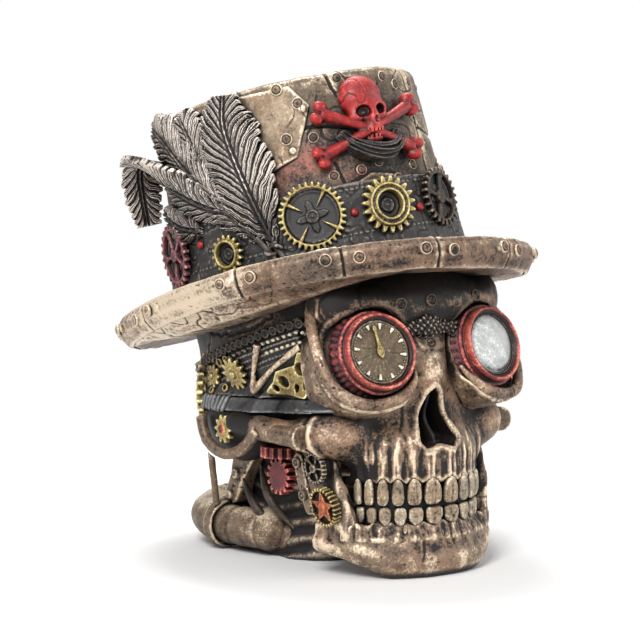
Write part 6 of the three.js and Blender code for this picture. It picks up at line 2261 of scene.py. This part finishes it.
def make_side_gears():
    for name, (y_share, z_share, gear) in side_gears.items():
        form = joined([gear_form(gear, 0.22), pinned_boss(gear["radius"] * 0.48, gear["depth"])])
        form = form.moved(*side_frame(y_share, z_share, over_strap, -1))
        cast(name + "_cast", even_quads(form, 0.22), "brass_paint", [name], smooth=1, grain=0.03)
    make_ear_gear()
    make_link_rings()


ear_gear = dict(radius=5.3, tooth=1.7, depth=2.4, rim=0, hub=0, teeth=10, sharp=1.0)


def make_ear_gear():
    """The gear below the right ear, with a copper red core."""
    axes, place = frame_at(side_point(0.02 * skull_size[1], 49.7, 0.4, -1), (-1, 0, 0))
    form = joined([gear_form(ear_gear, 0.22), pinned_boss(2.4, 2.4)]).moved(axes, place)
    cast("ear_gear_cast", even_quads(form, 0.22), "brass_paint", ["ear_gear_right"], smooth=1, grain=0.03)
    core = ball((0, 0, 2.6), (1.9, 1.9, 0.9), 20).moved(axes, place)
    cast("ear_gear_core", core, "copper_red", smooth=0, grain=0.05)


# The rings between the chain and the belt: shares of the skull's length and height, and their radius.
link_ring_places = [
    (0.12, 0.735, 2.0), (0.3, 0.66, 2.2), (0.31, 0.715, 1.8), (0.04, 0.75, 1.7), (0.09, 0.64, 1.6),
    (-0.13, 0.66, 1.5), (0.22, 0.625, 1.5), (0.2, 0.745, 1.6),
]


def make_link_rings():
    """Small rings in the gap between the chain and the belt."""
    parts = []
    for hand in (-1, 1):
        for y_share, z_share, radius in link_ring_places:
            ring = turned([
                (radius * 0.5, -1), (radius, -1), (radius, 0.7), (radius * 0.86, 1.0), (radius * 0.62, 1.0),
                (radius * 0.5, 0.6),
            ], 24, ring=True)
            parts.append(ring.moved(*side_frame(y_share, z_share, over_strap - 0.3, hand)))
    cast("link_rings", even_quads(joined(parts), 0.24), "brass_paint", smooth=1, grain=0.03, stain_and_painted_light=0.12)


# The two bars of the V over the temple, as shares of the skull's length and height.
brace_routes = [
    [(-0.276, 0.815), (-0.21, 0.725), (-0.142, 0.637)],
    [(-0.142, 0.637), (-0.35, 0.73), (-0.55, 0.815)],
]


def make_brace():
    """The V of two round bars over the temple."""
    parts = []
    for shares in brace_routes:
        route = [side_point(y * skull_size[1], z * skull_size[2], 3.4, -1) for y, z in shares]
        parts.append(tube(route, lambda share: 1.2 + 0.25 * math.cos(6 * share), 20, count=40))
    cast("temple_brace_bars", even_quads(joined(parts), 0.26), "aged_bone", ["temple_brace_right"], smooth=1,
         relief=cup_relief, stain_and_painted_light=-0.22, grain=0.04)


plate_relief = noise_relief(0.15, 3.0, 161)

# The temple plate's outline and its round holes with their radii, from the plate's middle.
temple_plate_outline = [
    (-10.6, -6.4), (10.6, -6.4), (10.6, 8.6), (6.4, 8.6), (4.4, 4.0), (0.6, 2.6), (-3.4, 1.2), (-6, -2.6),
]

temple_plate_holes = [
    (-1.9, -1.9, 2.1), (6.4, 3.2, 2.3), (4.0, -3.9, 1.5), (-6.2, -4.6, 1.2), (9.2, -2.6, 1.5),
    (9.0, 7.6, 1.3),
]
temple_plate_y = -26.4
temple_plate_z = 70.4


def make_temple_plate():
    """A pierced brass plate with a softened edge, bent to the temple."""
    def field(x, y, z):
        flat = polygon_distance(x[:, :, :1], y[:, :, :1], temple_plate_outline) - 0.6
        for u, v, radius in temple_plate_holes:
            flat = np.maximum(flat, radius - np.hypot(x[:, :, :1] - u, y[:, :, :1] - v))
        return blend_max(flat + 0 * z, np.maximum(z - 2.0, -0.8 - z), 0.5)

    form = from_field(field, (-12.0, -8.0, -1.6), (12.4, 10.2, 3.0), 0.28)
    across, up, lift = form.points.T
    bent = side_point(temple_plate_y - across, temple_plate_z + up, over_strap + lift, -1)
    cast("temple_plate_pierced", Form(bent, form.faces), "brass_paint", ["temple_plate_right"], smooth=1,
         relief=plate_relief, grain=0.04)


# The rear cover's toothed edge, and its ring of holes.
cover_gear = dict(radius=15.0, tooth=1.5, depth=2.2, rim=0, hub=0, teeth=26, sharp=1.2)
cover_holes = 7
cover_hole_radius = 2.1
cover_hole_ring = 9.6


def make_rear_cover():
    """The toothed brass cover behind the temple, with round holes and a domed bolt."""
    def field(x, y, z):
        flat = gear_distance(x, y, cover_gear)
        for hole in range(cover_holes):
            turn = 2 * math.pi * hole / cover_holes
            away = np.hypot(x - cover_hole_ring * math.cos(turn), y - cover_hole_ring * math.sin(turn))
            flat = blend_max(flat, cover_hole_radius - away, 0.3)
        return blend_max(flat, np.maximum(z - 1.6, -1.6 - z), 0.5)

    body = from_field(field, (-16.0, -16.0, -2.4), (16.0, 16.0, 2.4), 0.32)
    dome = turned([
        (5.6, -1.4), (5.6, 1.6), (5.0, 2.5), (4.2, 2.7), (3.6, 2.2), (2.6, 2.4), (1.4, 3.6), (0.02, 3.8),
    ], 32)
    back = turned([(13.2, -2.2), (13.6, -2.2), (13.4, -1.2), (12.4, -1.2), (12.4, -2.0)], 64, ring=True)
    form = joined([body, dome, back]).moved(*frame_at((-35.4, 29.6, 61.2), (-0.62, 0.785, 0)))
    cast("rear_cover_toothed", even_quads(form, 0.3), "brass_paint", ["rear_cover_right"], smooth=1,
         relief=plate_relief, grain=0.05)


# Jaw's right branch

# How far out the jaw's branch is: shares of the skull's height and of its half width.
ramus_out_shares = [(0.09, 0.66), (0.17, 0.71), (0.29, 0.765), (0.42, 0.79), (0.6, 0.79)]


def jaw_face_frame(y_share, z_share, lift=0.3):
    """Axes on the outer face of the jaw's right branch."""
    def out(share):
        return np.interp(share, *zip(*ramus_out_shares)) * skull_size[0]

    rise = (out(z_share + 0.01) - out(z_share - 0.01)) / 2.0
    place = (-out(z_share) - lift, y_share * skull_size[1], z_share * skull_size[2])
    return frame_at(place, (-1, 0, -rise))


def make_jaw_strip():
    """The round ended strip on the jaw's branch that carries the two bolts."""
    route = [(-1.2, 8.6), (-0.4, 3.0), (0.8, -2.0), (3.4, -8.0)]

    def field(x, y, z):
        flat = line_distance(x, y, route) - 2.6
        return blend_max(flat, np.maximum(z - 1.3, -2.0 - z), 0.7)

    form = from_field(field, (-5.0, -12.0, -2.8), (7.5, 12.6, 2.2), 0.28)
    form = form.moved(*jaw_face_frame(-0.5, 0.32, 0.0))
    cast("jaw_strip", form, "aged_bone", ["jaw_plate_right"], smooth=1, relief=cup_relief, grain=0.05)


# The two gears on the jaw's branch, and where the bolts of its strip sit as shares of the skull.
jaw_wheel = dict(radius=7.3, tooth=1.2, depth=3.4, rim=6.0, hub=0, teeth=26, sharp=1.4, dish=0)
jaw_cog = dict(radius=5.9, tooth=0.9, depth=2.2, rim=4.6, hub=1.3, bar=0.55, teeth=22, spokes=5, dish=0.4)
bolt_places = [(-0.485, 0.4), (-0.52, 0.285)]


def make_jaw_wheel():
    """The toothed ring with a copper star on its dark floor."""
    axes, place = jaw_face_frame(-0.73, 0.26)
    rim = gear_form(jaw_wheel, 0.24).moved(axes, place)
    cast("jaw_wheel_rim", rim, "brass_paint", ["jaw_gear_copper_right"], smooth=1, grain=0.03, tint=0.7)
    floor = turned([(0.02, -0.2), (6.2, -0.2), (6.2, 1.6), (0.02, 1.6)], 40).moved(axes, place)
    cast("jaw_wheel_floor", even_quads(floor, 0.3), "dark_red", smooth=1, grain=0.05, stain_and_painted_light=0.35)
    star = star_form(5, 6.3, 2.7, 2.0).moved(axes, place + axes[:, 2] * 1.5)
    cast("jaw_wheel_star", even_quads(star, 0.22), "star_copper", grain=0.04)


def make_jaw_cog():
    """The dark spoked gear over its black floor."""
    axes, place = jaw_face_frame(-0.655, 0.39)
    boss = turned([(1.6, 0), (1.6, 2.4), (1.1, 2.8), (0.6, 2.4), (0.02, 2.6)], 20)
    form = joined([gear_form(jaw_cog, 0.22), boss]).moved(axes, place)
    cast("jaw_cog", even_quads(form, 0.22), "dark_bronze", ["jaw_gear_dark_right"], smooth=1, grain=0.03,
         stain_and_painted_light=-0.12)
    floor = turned([(0.02, -0.2), (5.0, -0.2), (5.0, 0.4), (0.02, 0.4)], 32).moved(axes, place)
    cast("jaw_cog_floor", even_quads(floor, 0.3), "black_leather_look", smooth=1, stain_and_painted_light=0.2)


def make_jaw_bolts():
    ring = turned([(1.0, 0), (2.0, 0), (2.0, 2.0), (1.7, 2.4), (1.3, 2.4), (1.0, 1.9)], 28, ring=True)
    bolt = turned([(0.9, 0), (0.9, 1.8), (0.5, 2.3), (0.02, 2.4)], 6)
    bolts = [joined([ring, bolt]).moved(*jaw_face_frame(*shares)) for shares in bolt_places]
    cast("jaw_strip_bolts", even_quads(joined(bolts), 0.22), "bronze_paint", smooth=1, grain=0.03)


# Neck

def neck_relief(points, normals):
    """Wavy rings round the neck."""
    x, y, z = points.T
    turn = np.arctan2(x, -(y - 10))
    rib = np.cos((z + 2.5 * np.sin(turn * 3)) * 2 * np.pi / 6.5)
    return 0.45 * rib + 0.5 * rough_noise(points, 8.0, 173, 3)


# The dark fins inside the jaw's right branch: foot, head, and how far their middle bends outwards.
neck_fins = [((-24.5, -8, 12), (-28, 8, 34), -5.0), ((-24, 1, 9), (-29, 18, 28), -4.0)]


def make_neck():
    cast("neck_core", node_quads("neck_base", 0.7), "dark_bronze", ["neck_base"], smooth=8,
         relief=neck_relief, stain_and_painted_light=0.24)
    fins = []
    for foot, head, bend in neck_fins:
        foot, head = np.array(foot, float), np.array(head, float)
        middle = (foot + head) / 2 + (bend, -2.0, 0)
        route = [foot, middle, head]
        fins.append(tube(route, lambda share: 0.5 + 1.1 * math.sin(math.pi * share), 16, count=40))
    cast("neck_fins", even_quads(joined(fins), 0.35), "dark_bronze", stain_and_painted_light=0.1, grain=0.05)


def make_linkage():
    cast("neck_link", node_quads("neck_linkage_right", 0.35), "aged_bone", ["neck_linkage_right"], smooth=5,
         relief=cup_relief, grain=0.05)
    for name in ("bevel_gear_upper", "bevel_gear_lower"):
        cast(name + "_cast", node_quads(name, 0.28), "dark_red", [name], grain=0.05)


def pipe_relief(points, normals):
    return 0.4 * rough_noise(points, 9.0, 171, 3) - 0.2 * pits(points, 1.5, 172, 0.86)


def pipe_patches_and_painted_light(points):
    """Painted highlight above and painted shade below, with dark patches."""
    z = points[:, 2]
    blotch = value_noise(points, 9.0, 174) - 0.45
    return 0.3 * smooth_step(z, 7, 1) - 0.3 * smooth_step(z, 12.5, 17) + 0.3 * blotch


# The pipe's route behind the jaw as shares of the skull's size, its radius, and its ribs and groove: where
# along it, how wide as a share of its length, and how high.
pipe_route_shares = [
    (-0.56, 0.12, 0.098), (-0.6, 0.36, 0.096), (-0.6, 0.62, 0.098), (-0.46, 0.83, 0.11), (-0.2, 0.9, 0.125),
    (0.02, 0.8, 0.14), (0.02, 0.52, 0.16),
]
pipe_radius = 7.35
pipe_ribs = [(0.62, 0.012, 0.5), (0.66, 0.012, 0.5), (0.17, 0.02, -0.5)]


def make_pipe():
    """The bent pipe behind the jaw, with its knuckle, ribs and groove."""
    route = np.array(pipe_route_shares) * skull_size

    def swell(share):
        return pipe_radius + sum(height * bell(share - middle, width) for middle, width, height in pipe_ribs)

    body = tube(route, swell, 40, count=140)
    knuckle = ball(route[0] + (1.2, -1.0, 0.2), (7.9, 8.6, 8.2), 40)
    heel = ball(route[0] + (6.0, -4.0, -1.2), (7.5, 8.0, 7.0), 32)
    form = even_quads(joined([body, knuckle, heel]), 0.45)
    cast("pipe_bend", form, "bronze_paint", ["neck_pipe"], smooth=4, relief=pipe_relief, stain_and_painted_light=pipe_patches_and_painted_light,
         grain=0.05)


# Other pieces

# The mesh step and the rounds of evening for the nodes that keep their CAD shape.
smoothing = {
    "ear_bracket_right": (0.35, 10), "ear_bracket_left": (0.35, 10), "cheek_rod_right": (0.35, 6),
    "cheek_rod_left": (0.35, 6), "pipe_collar": (0.35, 8), "neck_rod_right": (0.3, 6),
}


def cast_the_rest():
    """Every node that has no form of its own keeps its CAD shape, cast finely."""
    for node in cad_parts:
        if node in dressed:
            continue
        low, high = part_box(node)
        span = max(high - low) / millimetre
        size, rounds = smoothing.get(node, (min(0.7, max(0.25, span / 110)), 2))
        cast(node + "_cast", node_quads(node, size), slot_of(node), [node], smooth=rounds,
             relief=plate_relief)


# All the pieces in turn, and the size of what is seen

stand_camera()
light_scene()
lay_floor()
make_skull()
make_teeth()
make_lower_gum()
make_jaw()
make_crown()
make_patch()
make_brim()
make_band()
make_feathers()
make_emblem()
make_band_gears()
make_goggles()
make_straps()
make_belt_ends()
make_chains()
make_side_gears()
make_brace()
make_temple_plate()
make_rear_cover()
make_jaw_strip()
make_neck()
make_linkage()
make_pipe()
make_jaw_wheel()
make_jaw_cog()
make_jaw_bolts()
make_quills()
cast_the_rest()

bpy.context.scene.view_settings.view_transform = "Standard"
